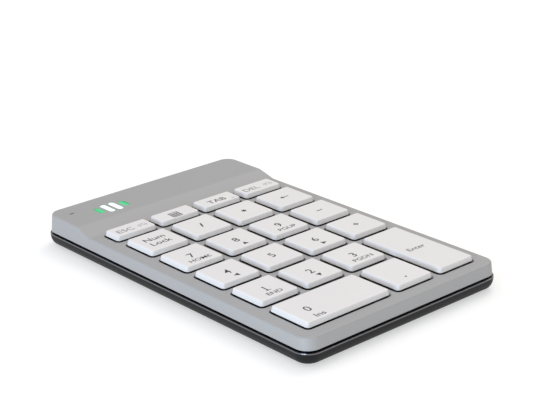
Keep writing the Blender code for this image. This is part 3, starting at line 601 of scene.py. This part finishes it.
def paint_board(wire, place):
    """Green solder mask over copper tracks, with bare tinned pads here and there."""
    tracks = wire.node("ShaderNodeTexBrick", {"offset": 0.37, "squash": 0.8}, {
        "Vector": place, "Scale": 620.0, "Mortar Size": 0.03, "Brick Width": 0.8, "Row Height": 0.34}, "Fac")
    spots = wire.node("ShaderNodeTexVoronoi", {}, {"Vector": place, "Scale": 420.0}, "Distance")
    pads = wire.node("ShaderNodeValToRGB", {
        "stops": ((0.10, (1, 1, 1, 1)), (0.13, (0, 0, 0, 1)))}, {"Fac": spots})
    mask = wire.mixed(tracks, srgb(20, 84, 48), srgb(34, 116, 66))
    return wire.surface({
        "Base Color": wire.mixed(pads, mask, srgb(196, 192, 178)), "Metallic": pads * 0.9,
        "Roughness": 0.42 - 0.12 * tracks})


dress(["battery"], make_finish("pouch_foil", paint_pouch))
dress(["control_board"], make_finish("solder_mask", paint_board))

# ------------------------------
# The charging socket: a shell drawn from thin stainless steel, open to the rear, round a black
# tongue with a row of gilt contacts on each face.
# ------------------------------
SOCKET_SHELL = 0.0003
SOCKET_LIP = 0.0001
SOCKET_TONGUE_HALF = 0.0034
SOCKET_TONGUE_SHEET = 0.0007
SOCKET_CONTACTS = 12
SOCKET_CONTACT_PITCH = 0.0005
SOCKET_ROUND = 0.48
TONGUE_ROUND = 0.0004
CONTACT_SHARE = 0.26
CONTACT_RISE = 0.00005
CONTACT_LENGTH = 0.0040
CONTACT_SETBACK = 0.0023


def paint_drawn_steel(wire, place):
    """Drawn stainless steel with faint lines along the draw."""
    stretched = wire.node("ShaderNodeMapping", {}, {"Vector": place, "Scale": (9000.0, 260.0, 9000.0)})
    lines = wire.noise(stretched, 1.0)
    return wire.surface({
        "Base Color": wire.mixed(lines, srgb(168, 170, 173), srgb(194, 196, 198)), "Metallic": 1.0,
        "Roughness": 0.22 + 0.16 * lines})


def clouded_finish(name, scale, detail, tones, roughness, spread, metallic=0.0):
    """A finish that drifts between two tones, and grows rougher by a spread as it does."""
    def paint(wire, place):
        cloud = wire.noise(place, scale, detail)
        return wire.surface({
            "Base Color": wire.mixed(cloud, srgb(*tones[0]), srgb(*tones[1])), "Metallic": metallic,
            "Roughness": roughness + spread * cloud})

    return make_finish(name, paint)


# Glass-filled nylon: noise scale and detail, two tones, roughness and its spread
BLACK_NYLON = (3800.0, 3.0, ((22, 22, 24), (36, 36, 38)), 0.4, 0.2)

drawn_steel = make_finish("drawn_steel", paint_drawn_steel)
socket_low, socket_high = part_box("charging_socket")
socket_radius = (socket_high.z - socket_low.z) * SOCKET_ROUND


def socket_ring(inset):
    """The mouth's outline in X and Z, moved inwards."""
    return rounded_plan((socket_low.x + inset, socket_low.z + inset),
                        (socket_high.x - inset, socket_high.z - inset), socket_radius - inset, 10)


shell = bmesh.new()
loft_into(shell, ((socket_ring(0), -socket_low.y), (socket_ring(0), -socket_high.y + SOCKET_LIP),
                  (socket_ring(SOCKET_LIP), -socket_high.y), (socket_ring(SOCKET_SHELL), -socket_high.y),
                  (socket_ring(SOCKET_SHELL), -socket_low.y - 3 * SOCKET_SHELL)))
shell_mesh = shape_mesh("socket_shell", shell)
shell_mesh.transform(Matrix.Rotation(pi / 2, 4, "X"))
socket_shell = add_piece("socket_shell", shell_mesh, drawn_steel)
shade_smooth(socket_shell)
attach(socket_shell, "case")
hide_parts("charging_socket")

socket_middle = (socket_low + socket_high) / 2
tongue = bmesh.new()
tongue_front = socket_low.y + 2 * SOCKET_SHELL
tongue_rear = socket_high.y - SOCKET_TONGUE_SHEET
tongue_plan = rounded_plan((socket_middle.x - SOCKET_TONGUE_HALF, tongue_front),
                           (socket_middle.x + SOCKET_TONGUE_HALF, tongue_rear), TONGUE_ROUND, 4)
loft_into(tongue, ((tongue_plan, socket_middle.z - SOCKET_TONGUE_SHEET / 2),
                   (tongue_plan, socket_middle.z + SOCKET_TONGUE_SHEET / 2)))
socket_tongue = add_piece("socket_tongue", shape_mesh("socket_tongue", tongue),
                          clouded_finish("tongue_nylon", *BLACK_NYLON))
shade_smooth(socket_tongue)
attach(socket_tongue, "case")

gilt = clouded_finish("gilt", 1500.0, 2.0, ((208, 168, 84), (226, 196, 122)), 0.2, 0.15, metallic=1.0)
contacts = bmesh.new()
for side in (-1, 1):
    strip_shape = half_round_bar(SOCKET_CONTACT_PITCH * CONTACT_SHARE, CONTACT_RISE, CONTACT_LENGTH,
                                 (0, 1, 0), (0, 0, side), 4)
    contact_start = (socket_middle.x - SOCKET_CONTACT_PITCH * (SOCKET_CONTACTS - 1) / 2,
                     tongue_rear - CONTACT_SETBACK, socket_middle.z + side * SOCKET_TONGUE_SHEET / 2)
    contacts.from_mesh(row_mesh("contacts", strip_shape, SOCKET_CONTACTS, contact_start,
                                (SOCKET_CONTACT_PITCH, 0, 0), gilt))
socket_contacts = add_piece("socket_contacts", shape_mesh("socket_contacts", contacts), gilt)
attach(socket_contacts, "case")

# ------------------------------
# The power switch: a steel-cased slide switch on the board. Its slider is moulded in black nylon,
# with a wide flange inside the rear wall and a ribbed knob that shows in the slot.
# ------------------------------
KNOB_HALF = 0.0010
FLANGE_SHEET = 0.0008
KNOB_RIDGES = 4
KNOB_RIDGE_PITCH = 0.00044
KNOB_RIDGE_SHARE = 0.36
KNOB_RIDGE_RISE = 0.00015
KNOB_EASE = 0.00012

dress(["power_switch"], drawn_steel)
slider_low, slider_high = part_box("power_slider")
slider_nylon = clouded_finish("slider_nylon", *BLACK_NYLON)
slider_middle = (slider_low + slider_high) / 2
slider_shape = bmesh.new()
box_into(slider_shape, slider_low, (slider_high.x, slider_low.y + FLANGE_SHEET, slider_high.z))
slider = add_piece("slider", shape_mesh("slider", slider_shape), slider_nylon)
knob_shape = bmesh.new()
box_into(knob_shape, (slider_middle.x - KNOB_HALF, slider_low.y + FLANGE_SHEET / 2, slider_low.z + FIT_GAP),
         (slider_middle.x + KNOB_HALF, slider_high.y - KNOB_RIDGE_RISE, slider_high.z - FIT_GAP))
cut_or_join(slider, shape_mesh("knob", knob_shape), "UNION")
easing = slider.modifiers.new("easing", "BEVEL")
easing.width = KNOB_EASE
easing.segments = 3
bake_modifiers(slider)
ridge_length = slider_high.z - slider_low.z - 2 * FIT_GAP - 3 * KNOB_EASE
ridge_shape = half_round_bar(KNOB_RIDGE_PITCH * KNOB_RIDGE_SHARE, KNOB_RIDGE_RISE, ridge_length,
                             (0, 0, 1), (0, 1, 0))
ridge_start = (slider_middle.x - KNOB_RIDGE_PITCH * (KNOB_RIDGES - 1) / 2,
               slider_high.y - KNOB_RIDGE_RISE, slider_middle.z)
ridges = row_mesh("slider_ridges", ridge_shape, KNOB_RIDGES, ridge_start, (KNOB_RIDGE_PITCH, 0, 0),
                  slider_nylon)
slider_all = bmesh.new()
slider_all.from_mesh(slider.data)
slider_all.from_mesh(ridges)
slider.data = shape_mesh("slider", slider_all)
slider.data.materials.append(slider_nylon)
shade_smooth(slider)
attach(slider, "power_slider")
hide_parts("power_slider")


def paint_plate(wire, place):
    """Zinc-plated sheet with a faint spangle."""
    spangle = wire.node("ShaderNodeTexVoronoi", {}, {"Vector": place, "Scale": 380.0}, "Distance")
    return wire.surface({
        "Base Color": wire.mixed(spangle, srgb(150, 152, 155), srgb(184, 186, 188)), "Metallic": 1.0,
        "Roughness": 0.3 + 0.25 * spangle})


def paint_foil_painted_shade(wire, place):
    """Polyester foil with printed silver tracks. Its ground is kept dark as painted shade, so that the gaps
    round the caps read near black.
    """
    tracks = wire.node("ShaderNodeTexBrick", {"offset": 0.5}, {
        "Vector": place, "Scale": 180.0, "Mortar Size": 0.025, "Brick Width": 0.9, "Row Height": 0.5}, "Fac")
    return wire.surface({
        "Base Color": wire.mixed(tracks, srgb(34, 35, 38), srgb(92, 94, 97)),
        "Roughness": 0.3 + 0.1 * tracks})


dress(["support_plate"], make_finish("zinc_plate", paint_plate))
# Painted shade: the membrane's foil is kept dark so that the gaps round the caps read near black.
dress(["membrane"], make_finish("printed_foil", paint_foil_painted_shade))
# Painted shade: the dome mat is charcoal silicone, as such mats often are, and is kept this dark so that the
# gaps round the caps read near black.
dress(["dome_mat"], clouded_finish("charcoal_silicone", 260.0, 3.0, ((36, 37, 39), (50, 51, 54)), 0.5, 0.2))
# Painted shade: the levers are grey acetal, kept dark so that where they show through the gaps round the caps
# they read as shade.
lever_names = [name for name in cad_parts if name.startswith("levers_")]
dress(lever_names, clouded_finish("acetal", 2600.0, 2.0, ((52, 53, 56), (64, 65, 68)), 0.38, 0.12))
for name in lever_names:
    low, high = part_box(name)
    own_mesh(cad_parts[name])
dress(["stabiliser_0", "stabiliser_enter"], drawn_steel)

# ------------------------------
# The cover: one ABS moulding in satin silver, drafted walls and a level deck with an opening for
# every key. The deck climbs a short ramp to the raised housing. It snaps over the upstand.
# ------------------------------
COVER_LEAN = 0.0004
COVER_WALL_RISE = 0.0041
COVER_DRAFT = COVER_LEAN / COVER_WALL_RISE
COVER_RADIUS = 0.0050
COVER_WALL = 0.0012
COVER_EDGE_ROUND = 0.0005
CAP_CLEARANCE = 0.00055
CAP_LIFT = 0.0002
OPENING_RADIUS = 0.00175
OPENING_EASE = 0.00012
OPENING_MID_EASE = 0.29
RAMP_FOOT = 0.04165
RAMP_HEAD = 0.04895
CREASE_STEPS = 5
CREASE_REACH = 0.0005
SWITCH_TRAVEL = 0.0020
BLOCK_SPARE = 0.01
TOP_SPARE = 0.002

cover_low, cover_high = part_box("top_cover")
key_names = [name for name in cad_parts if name.startswith("key_")]
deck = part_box("key_5")[0].z - CAP_LIFT
hump = cover_high.z


def cover_plan(inset):
    """The plan of the cover's foot, moved inwards."""
    return rounded_plan((cover_low.x + inset, cover_low.y + inset),
                        (cover_high.x - inset, cover_high.y - inset), COVER_RADIUS - inset, CORNER_STEPS)


def cover_block(wall, low, high):
    """The drafted block inside or outside the walls, from one level to another."""
    block = bmesh.new()
    loft_into(block, [(cover_plan(wall + COVER_DRAFT * (level - cover_low.z)), level)
                      for level in (low, high)])
    return shape_mesh("cover_block", block)


def eased_corner(before, corner, after, reach, steps):
    """Points that round a corner between two straight lines, on a parabola."""
    before, corner, after = Vector(before), Vector(corner), Vector(after)
    start = corner + (before - corner).normalized() * reach
    end = corner + (after - corner).normalized() * reach
    points = []
    for step in range(steps + 1):
        share = step / steps
        points.append(start * (1 - share) ** 2 + corner * 2 * share * (1 - share) + end * share ** 2)
    return points


def above_deck(drop):
    """Everything above the deck, ramp and housing, with eased creases, lowered by a drop."""
    front, rear, top = cover_low.y - BLOCK_SPARE, cover_high.y + BLOCK_SPARE, hump + 2 * TOP_SPARE
    foot, head = (RAMP_FOOT, deck - drop), (RAMP_HEAD, hump - drop)
    line = [Vector((front, deck - drop))]
    line += eased_corner(line[0], foot, head, CREASE_REACH, CREASE_STEPS)
    line += eased_corner(foot, head, (rear, hump - drop), CREASE_REACH, CREASE_STEPS)
    line += [Vector((rear, hump - drop)), Vector((rear, top)), Vector((front, top))]
    side = cover_high.x + BLOCK_SPARE
    block = bmesh.new()
    loft_into(block, (([tuple(point) for point in line], -side), ([tuple(point) for point in line], side)))
    mesh = shape_mesh("above_deck", block)
    mesh.transform(Matrix(((0, 0, 1, 0), (1, 0, 0, 0), (0, 1, 0, 0), (0, 0, 0, 1))))
    return mesh


def paint_cover(wire, place):
    """Satin silver paint: fine metal flake, a faint orange peel and slight cloudiness."""
    cloud = wire.noise(place, 30.0)
    flake = wire.node("ShaderNodeTexVoronoi", {}, {"Vector": place, "Scale": 7000.0}, "Distance")
    peel = wire.noise(place, 900.0)
    tone = wire.mixed(0.6 * flake + 0.4 * cloud, srgb(158, 158, 159), srgb(166, 166, 167))
    bump = wire.bump(0.12, 0.00002, peel)
    return wire.surface({
        "Base Color": tone, "Metallic": 0.08, "Roughness": 0.46 + 0.10 * flake + 0.04 * cloud,
        "Normal": bump})


silver_paint = make_finish("silver_paint", paint_cover)
cover = add_piece("cover", cover_block(0, cover_low.z, hump + TOP_SPARE), silver_paint)
cut_or_join(cover, above_deck(0), "DIFFERENCE")
skin = bmesh.new()
skin.from_mesh(cover.data)
bmesh.ops.dissolve_limit(skin, angle_limit=radians(1), verts=skin.verts, edges=skin.edges)
rim = [edge for edge in skin.edges if len(edge.link_faces) == 2
       and min(abs(face.normal.z) for face in edge.link_faces) < 0.5
       and max(abs(face.normal.z) for face in edge.link_faces) > 0.5
       and edge.verts[0].co.z > deck - COVER_EDGE_ROUND]
bmesh.ops.bevel(skin, geom=rim, offset=COVER_EDGE_ROUND, segments=5, profile=0.5, affect="EDGES")
skin.to_mesh(cover.data)
skin.free()

cavity = add_piece("cavity", cover_block(COVER_WALL, cover_low.z - CUT_SPARE, hump), silver_paint)
cut_or_join(cavity, above_deck(COVER_WALL), "DIFFERENCE")
cut_or_join(cover, cavity.data, "DIFFERENCE")
bpy.data.objects.remove(cavity)

openings = bmesh.new()
for key in key_names:
    low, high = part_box(key)
    sections = []
    for ease, height in ((0, deck - 2 * COVER_WALL), (0, deck - OPENING_EASE),
                         (OPENING_EASE * OPENING_MID_EASE, deck - OPENING_EASE * OPENING_MID_EASE),
                         (OPENING_EASE, deck), (OPENING_EASE * 2, deck + OPENING_EASE)):
        room = CAP_CLEARANCE + ease
        sections.append((rounded_plan((low.x - room, low.y - room), (high.x + room, high.y + room),
                                      OPENING_RADIUS + ease, 8), height))
    loft_into(openings, sections)
cut_or_join(cover, shape_mesh("openings", openings), "DIFFERENCE")

lights_low, lights_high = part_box("indicator_lens")
status_low, status_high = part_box("status_lens")
BAR_WIDTH = 0.0022
BAR_LENGTHS = (0.0052, 0.0076, 0.0076, 0.0052)
BAR_PITCH = 0.0036
STATUS_LENGTH = 0.0020
STATUS_WIDTH = 0.0006
ROUND_END = 0.98
LENS_GAP = 0.00005
gauge_middle = (lights_low + lights_high) / 2
status_middle = (status_low + status_high) / 2


def gauge_bar(index, growth):
    """The plan of one bar of the lit gauge, grown on every side."""
    x = gauge_middle.x + (index - (len(BAR_LENGTHS) - 1) / 2) * BAR_PITCH
    half_width = BAR_WIDTH / 2 + growth
    half_length = BAR_LENGTHS[index] / 2 + growth
    return rounded_plan((x - half_width, gauge_middle.y - half_length),
                        (x + half_width, gauge_middle.y + half_length), half_width * ROUND_END, 8)


def status_slot(growth):
    """The plan of the small status light, grown on every side."""
    half_length = STATUS_LENGTH / 2 + growth
    half_width = STATUS_WIDTH / 2 + growth
    return rounded_plan((status_middle.x - half_length, status_middle.y - half_width),
                        (status_middle.x + half_length, status_middle.y + half_width),
                        half_width * ROUND_END, 6)


windows = bmesh.new()
for plan in [gauge_bar(index, LENS_GAP) for index in range(len(BAR_LENGTHS))] + [status_slot(LENS_GAP)]:
    loft_into(windows, ((plan, hump - 2 * COVER_WALL), (plan, hump + COVER_WALL)))
cut_or_join(cover, shape_mesh("windows", windows), "DIFFERENCE")

rear_holes = bmesh.new()
knob_low = (slider_middle.x - KNOB_HALF - FIT_GAP, slider_low.z)
knob_high = (slider_middle.x + KNOB_HALF + FIT_GAP + SWITCH_TRAVEL, slider_high.z)
for plan in (socket_ring(-FIT_GAP), rounded_plan(knob_low, knob_high, FIT_GAP, 3)):
    loft_into(rear_holes, ((plan, -cover_high.y - COVER_WALL), (plan, -cover_high.y + 2 * COVER_WALL)))
rear_mesh = shape_mesh("rear_holes", rear_holes)
rear_mesh.transform(Matrix.Rotation(pi / 2, 4, "X"))
cut_or_join(cover, rear_mesh, "DIFFERENCE")
shade_smooth(cover)
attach(cover, "case")
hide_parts("top_cover")

# ------------------------------
# The lights: clear acrylic guides behind the cover. Four bars glow in the raised housing, white at
# the heart and green at the ends; a small smoked slot at its left end shows the state of the cell.
# ------------------------------
LENS_SHEET = 0.0008
LENS_ROUND = 0.0012
LENS_EASE = 0.00015
GLOW = 0.85


def lens_piece(name, low, high, pads):
    """A sheet with pads that stand in the cover's windows, their top edges eased."""
    shape = bmesh.new()
    sheet = rounded_plan((low.x, low.y), (high.x, high.y), LENS_ROUND, 6)
    loft_into(shape, ((sheet, low.z), (sheet, low.z + LENS_SHEET)))
    lens = add_piece(name, shape_mesh(name, shape))
    standing = bmesh.new()
    for pad in pads:
        loft_into(standing, ((pad(0), low.z + LENS_SHEET / 2), (pad(0), high.z - LENS_EASE),
                             (pad(-LENS_EASE * MID_EASE), high.z - LENS_EASE * MID_EASE),
                             (pad(-LENS_EASE), high.z)))
    cut_or_join(lens, shape_mesh("pads", standing), "UNION")
    return lens


def paint_gauge(wire, place):
    """Lit acrylic: near white over the lamp in the middle, green towards both ends."""
    x = wire.node("ShaderNodeSeparateXYZ", {}, {"Vector": place}, "X")
    away = wire.maths("ABSOLUTE", x - gauge_middle.x) / (2 * BAR_PITCH)
    haze = wire.noise(place, 900.0)
    colour = wire.node("ShaderNodeValToRGB", {"stops": (
        (0.20, srgb(214, 240, 228)), (0.42, srgb(176, 232, 206)), (0.62, srgb(24, 176, 108)),
        (0.95, srgb(4, 132, 76)))}, {"Fac": away + 0.06 * haze - 0.03})
    return wire.surface({
        "Base Color": colour, "Roughness": 0.22 + 0.1 * haze, "Emission Color": colour,
        "Emission Strength": GLOW})


gauge = lens_piece("gauge_lens", lights_low, lights_high, [
    lambda growth, index=index: gauge_bar(index, growth) for index in range(len(BAR_LENGTHS))])
gauge.data.materials.append(make_finish("lit_acrylic", paint_gauge))
shade_smooth(gauge)
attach(gauge, "case")
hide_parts("indicator_lens")

status = lens_piece("status_window", status_low, status_high, [status_slot])
status.data.materials.append(
    clouded_finish("smoked_acrylic", 1200.0, 2.0, ((56, 57, 60), (72, 73, 76)), 0.15, 0.1))
shade_smooth(status)
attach(status, "case")
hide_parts("status_lens")

# ------------------------------
# The keycaps: hollow caps moulded in white ABS with a fine satin grain. Their sides lean in a
# little, and a soft shoulder runs round the flat top. Each clips to its levers from above.
# ------------------------------
CAP_DRAFT = 0.0003
CAP_SHOULDER = 0.0006
CAP_FOOT_EASE = 0.00012
CAP_WALL = 0.0008
CAP_TOP = 0.0012
CAP_FACE_INSET = 0.00015
SHOULDER_STEPS = 8
CAP_CORNER_STEPS = 8


def paint_cap(wire, place):
    """White ABS: a very fine spark grain that scatters the gloss."""
    cloud = wire.noise(place, 70.0)
    grain = wire.noise(place, 5200.0)
    bump = wire.bump(0.15, 0.00001, grain)
    return wire.surface({
        "Base Color": wire.mixed(cloud, srgb(224, 222, 223), srgb(229, 227, 227)),
        "Roughness": 0.42 + 0.12 * grain, "Normal": bump})


cap_abs = make_finish("cap_abs", paint_cap)
for key in key_names:
    low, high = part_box(key)
    shoulder = quarter_round((-CAP_DRAFT - CAP_SHOULDER, high.z - CAP_SHOULDER), CAP_SHOULDER, pi / 2,
                             SHOULDER_STEPS)
    profile = [(-CAP_WALL - CAP_DRAFT, high.z - CAP_TOP), (-CAP_WALL, low.z),
               (-CAP_FOOT_EASE, low.z), (-CAP_FOOT_EASE * MID_EASE, low.z + CAP_FOOT_EASE * MID_EASE),
               (0, low.z + CAP_FOOT_EASE), *reversed(shoulder),
               (-CAP_DRAFT - CAP_SHOULDER - CAP_FACE_INSET, high.z)]
    cap_mesh = swept_rim(key + "_cap", low, high, OPENING_RADIUS - CAP_CLEARANCE, CAP_CORNER_STEPS,
                         profile, cap_abs)
    cap = add_piece(key.replace("key", "cap"), cap_mesh, cap_abs)
    shade_smooth(cap, crease=50)
    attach(cap, key)
    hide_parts(key)

# ------------------------------
# The legends: thin ink, pad-printed on the caps in two greys. Most digits have a second, smaller
# legend in front of them; the rear row has words and a small calculator sign.
# ------------------------------
INK = 0.00002
INK_WELD = 0.0000001
DRAWN_THICKNESS = 0.1
LETTER_RISE = 0.729
LETTER_BOLD = 0.007
WORD_STRETCH = 1.14
DIGIT = 0.0034
WORD = 0.0020
SIGN = 0.0021
NAME = 0.0027
BRACKET = 0.0018
SIGN_PLACE = (-0.0004, -0.0004)
DIGIT_PLACE = (-0.0006, -0.0005)
WORD_PLACE = (0.0, -0.0045)


def ink_mesh(curve, scale_x, scale_y, middle, surface):
    """Ink from a flat curve: scaled, centred on a place, and laid on a surface."""
    guide = bpy.data.objects.new("ink", curve)
    scene.collection.objects.link(guide)
    graph = bpy.context.evaluated_depsgraph_get()
    mesh = bpy.data.meshes.new_from_object(guide.evaluated_get(graph))
    bpy.data.objects.remove(guide)
    corners = [Vector(tuple(pick(vertex.co[axis] for vertex in mesh.vertices) for axis in range(3)))
               for pick in (min, max)]
    centre = (corners[0] + corners[1]) / 2
    thickness = corners[1].z - corners[0].z
    mesh.transform(Matrix.Translation((*middle, surface))
                   @ Matrix.Diagonal((scale_x, scale_y, INK / thickness, 1)) @ Matrix.Translation(-centre))
    return mesh


def letters(text, height, middle, surface):
    """A printed word whose capitals have a given height; words are set a little wide."""
    curve = bpy.data.curves.new("letters", "FONT")
    curve.body = text
    curve.offset = LETTER_BOLD
    curve.extrude = DRAWN_THICKNESS
    curve.resolution_u = 4
    scale = height / LETTER_RISE
    stretch = WORD_STRETCH if len(text) > 1 else 1
    return ink_mesh(curve, scale * stretch, scale, middle, surface)


def shapes(outlines, height, middle, surface):
    """A printed sign from outlines one unit high; an outline inside another is left clear."""
    curve = bpy.data.curves.new("sign", "CURVE")
    curve.dimensions = "2D"
    curve.fill_mode = "BOTH"
    curve.extrude = DRAWN_THICKNESS
    for outline in outlines:
        spline = curve.splines.new("POLY")
        spline.points.add(len(outline) - 1)
        for point, (x, y) in zip(spline.points, outline):
            point.co = (x, y, 0, 1)
        spline.use_cyclic_u = True
    return ink_mesh(curve, height, height, middle, surface)


def bar(length, width):
    """The outline of a straight stroke, level and centred."""
    return rounded_plan((-length / 2, -width / 2), (length / 2, width / 2), width * 0.3, 2)


def turned(outline, angle):
    """An outline turned about its origin."""
    return [(x * cos(angle) - y * sin(angle), x * sin(angle) + y * cos(angle)) for x, y in outline]


ARROW_UP = ((-0.5, -0.45), (0.5, -0.45), (0, 0.5))
arrows = {"up": turned(ARROW_UP, 0), "left": turned(ARROW_UP, pi / 2), "down": turned(ARROW_UP, pi),
          "right": turned(ARROW_UP, -pi / 2)}
calculator = [rounded_plan((-0.5, -0.5), (0.5, 0.5), 0.08, 3),
              rounded_plan((-0.34, 0.24), (0.34, 0.34), 0.03, 2)]
for column in (-0.26, 0, 0.26):
    for row in (-0.32, -0.06):
        calculator.append(rounded_plan((column - 0.05, row - 0.05), (column + 0.05, row + 0.05), 0.02, 2))
back_arrow = [[(-0.95, 0), (-0.3, 0.5), (-0.3, 0.11), (0.95, 0.11), (0.95, -0.11), (-0.3, -0.11),
               (-0.3, -0.5)]]

# Every entry: what is printed, its height, and its place from the middle of the cap
legends = {
    "key_7": (("7", DIGIT, DIGIT_PLACE), ("HOME", WORD, WORD_PLACE)),
    "key_8": (("8", DIGIT, DIGIT_PLACE), ([arrows["up"]], SIGN, WORD_PLACE)),
    "key_9": (("9", DIGIT, DIGIT_PLACE), ("PGUP", WORD, WORD_PLACE)),
    "key_4": (("4", DIGIT, DIGIT_PLACE), ([arrows["left"]], SIGN, WORD_PLACE)),
    "key_5": (("5", DIGIT, DIGIT_PLACE),),
    "key_6": (("6", DIGIT, DIGIT_PLACE), ([arrows["right"]], SIGN, WORD_PLACE)),
    "key_1": (("1", DIGIT, DIGIT_PLACE), ([bar(1, 0.15)], SIGN, (-0.0005, -0.0022)),
              ("END", WORD, WORD_PLACE)),
    "key_2": (("2", DIGIT, DIGIT_PLACE), ([arrows["down"]], SIGN, WORD_PLACE)),
    "key_3": (("3", DIGIT, DIGIT_PLACE), ("PGDN", WORD, WORD_PLACE)),
    "key_0": (("0", DIGIT, (-0.0106, -0.0010)), ("Ins", 0.0024, (-0.0102, -0.0062))),
    "key_decimal": ((".", DIGIT * 1.3, (-0.0008, -0.0050)),),
    "key_enter": (("Enter", 0.0022, (-0.0009, -0.0004)),),
    "key_plus": (("+", DIGIT, SIGN_PLACE),),
    "key_minus": (([bar(1, 0.2)], DIGIT * 0.75, SIGN_PLACE),),
    "key_num_lock": (("Num", NAME, (-0.0004, 0.0016)), ("Lock", NAME, (-0.0004, -0.0025))),
    "key_divide": (([turned(bar(1, 0.18), radians(68))], DIGIT, SIGN_PLACE),),
    "key_multiply": (([turned(bar(1, 0.22), turn * pi / 3) for turn in range(3)], SIGN, SIGN_PLACE),),
    "key_backspace": ((back_arrow, 0.0020, SIGN_PLACE),),
    "key_tab": (("TAB", NAME, (-0.0008, -0.0010)),),
}
pale_legends = {
    "key_escape": (("ESC", NAME, (-0.0029, -0.0009)), ("(C)", BRACKET, (0.0043, -0.0009))),
    "key_calculator": ((calculator, 0.0042, (-0.0007, -0.0013)),),
    "key_delete": (("DEL", NAME, (-0.0034, -0.0009)), ("(C)", BRACKET, (0.0043, -0.0009))),
    "key_tab": (([bar(1, 0.2)], 0.0016, (0.0054, -0.0029)),),
}
grey_ink = clouded_finish("grey_ink", 2400.0, 2.0, ((42, 42, 45), (54, 54, 57)), 0.4, 0.2)
pale_ink = clouded_finish("pale_ink", 2400.0, 2.0, ((126, 126, 130), (142, 142, 145)), 0.4, 0.2)
for suffix, finish, table in (("", grey_ink, legends), ("_pale", pale_ink, pale_legends)):
    for key, marks in table.items():
        low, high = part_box(key)
        printed = bmesh.new()
        for mark, height, offset in marks:
            place = ((low.x + high.x) / 2 + offset[0], (low.y + high.y) / 2 + offset[1])
            make = letters if isinstance(mark, str) else shapes
            printed.from_mesh(make(mark, height, place, high.z))
        bmesh.ops.remove_doubles(printed, verts=printed.verts, dist=INK_WELD)
        legend = add_piece(key.replace("key", "legend") + suffix, shape_mesh(key, printed), finish)
        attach(legend, key)
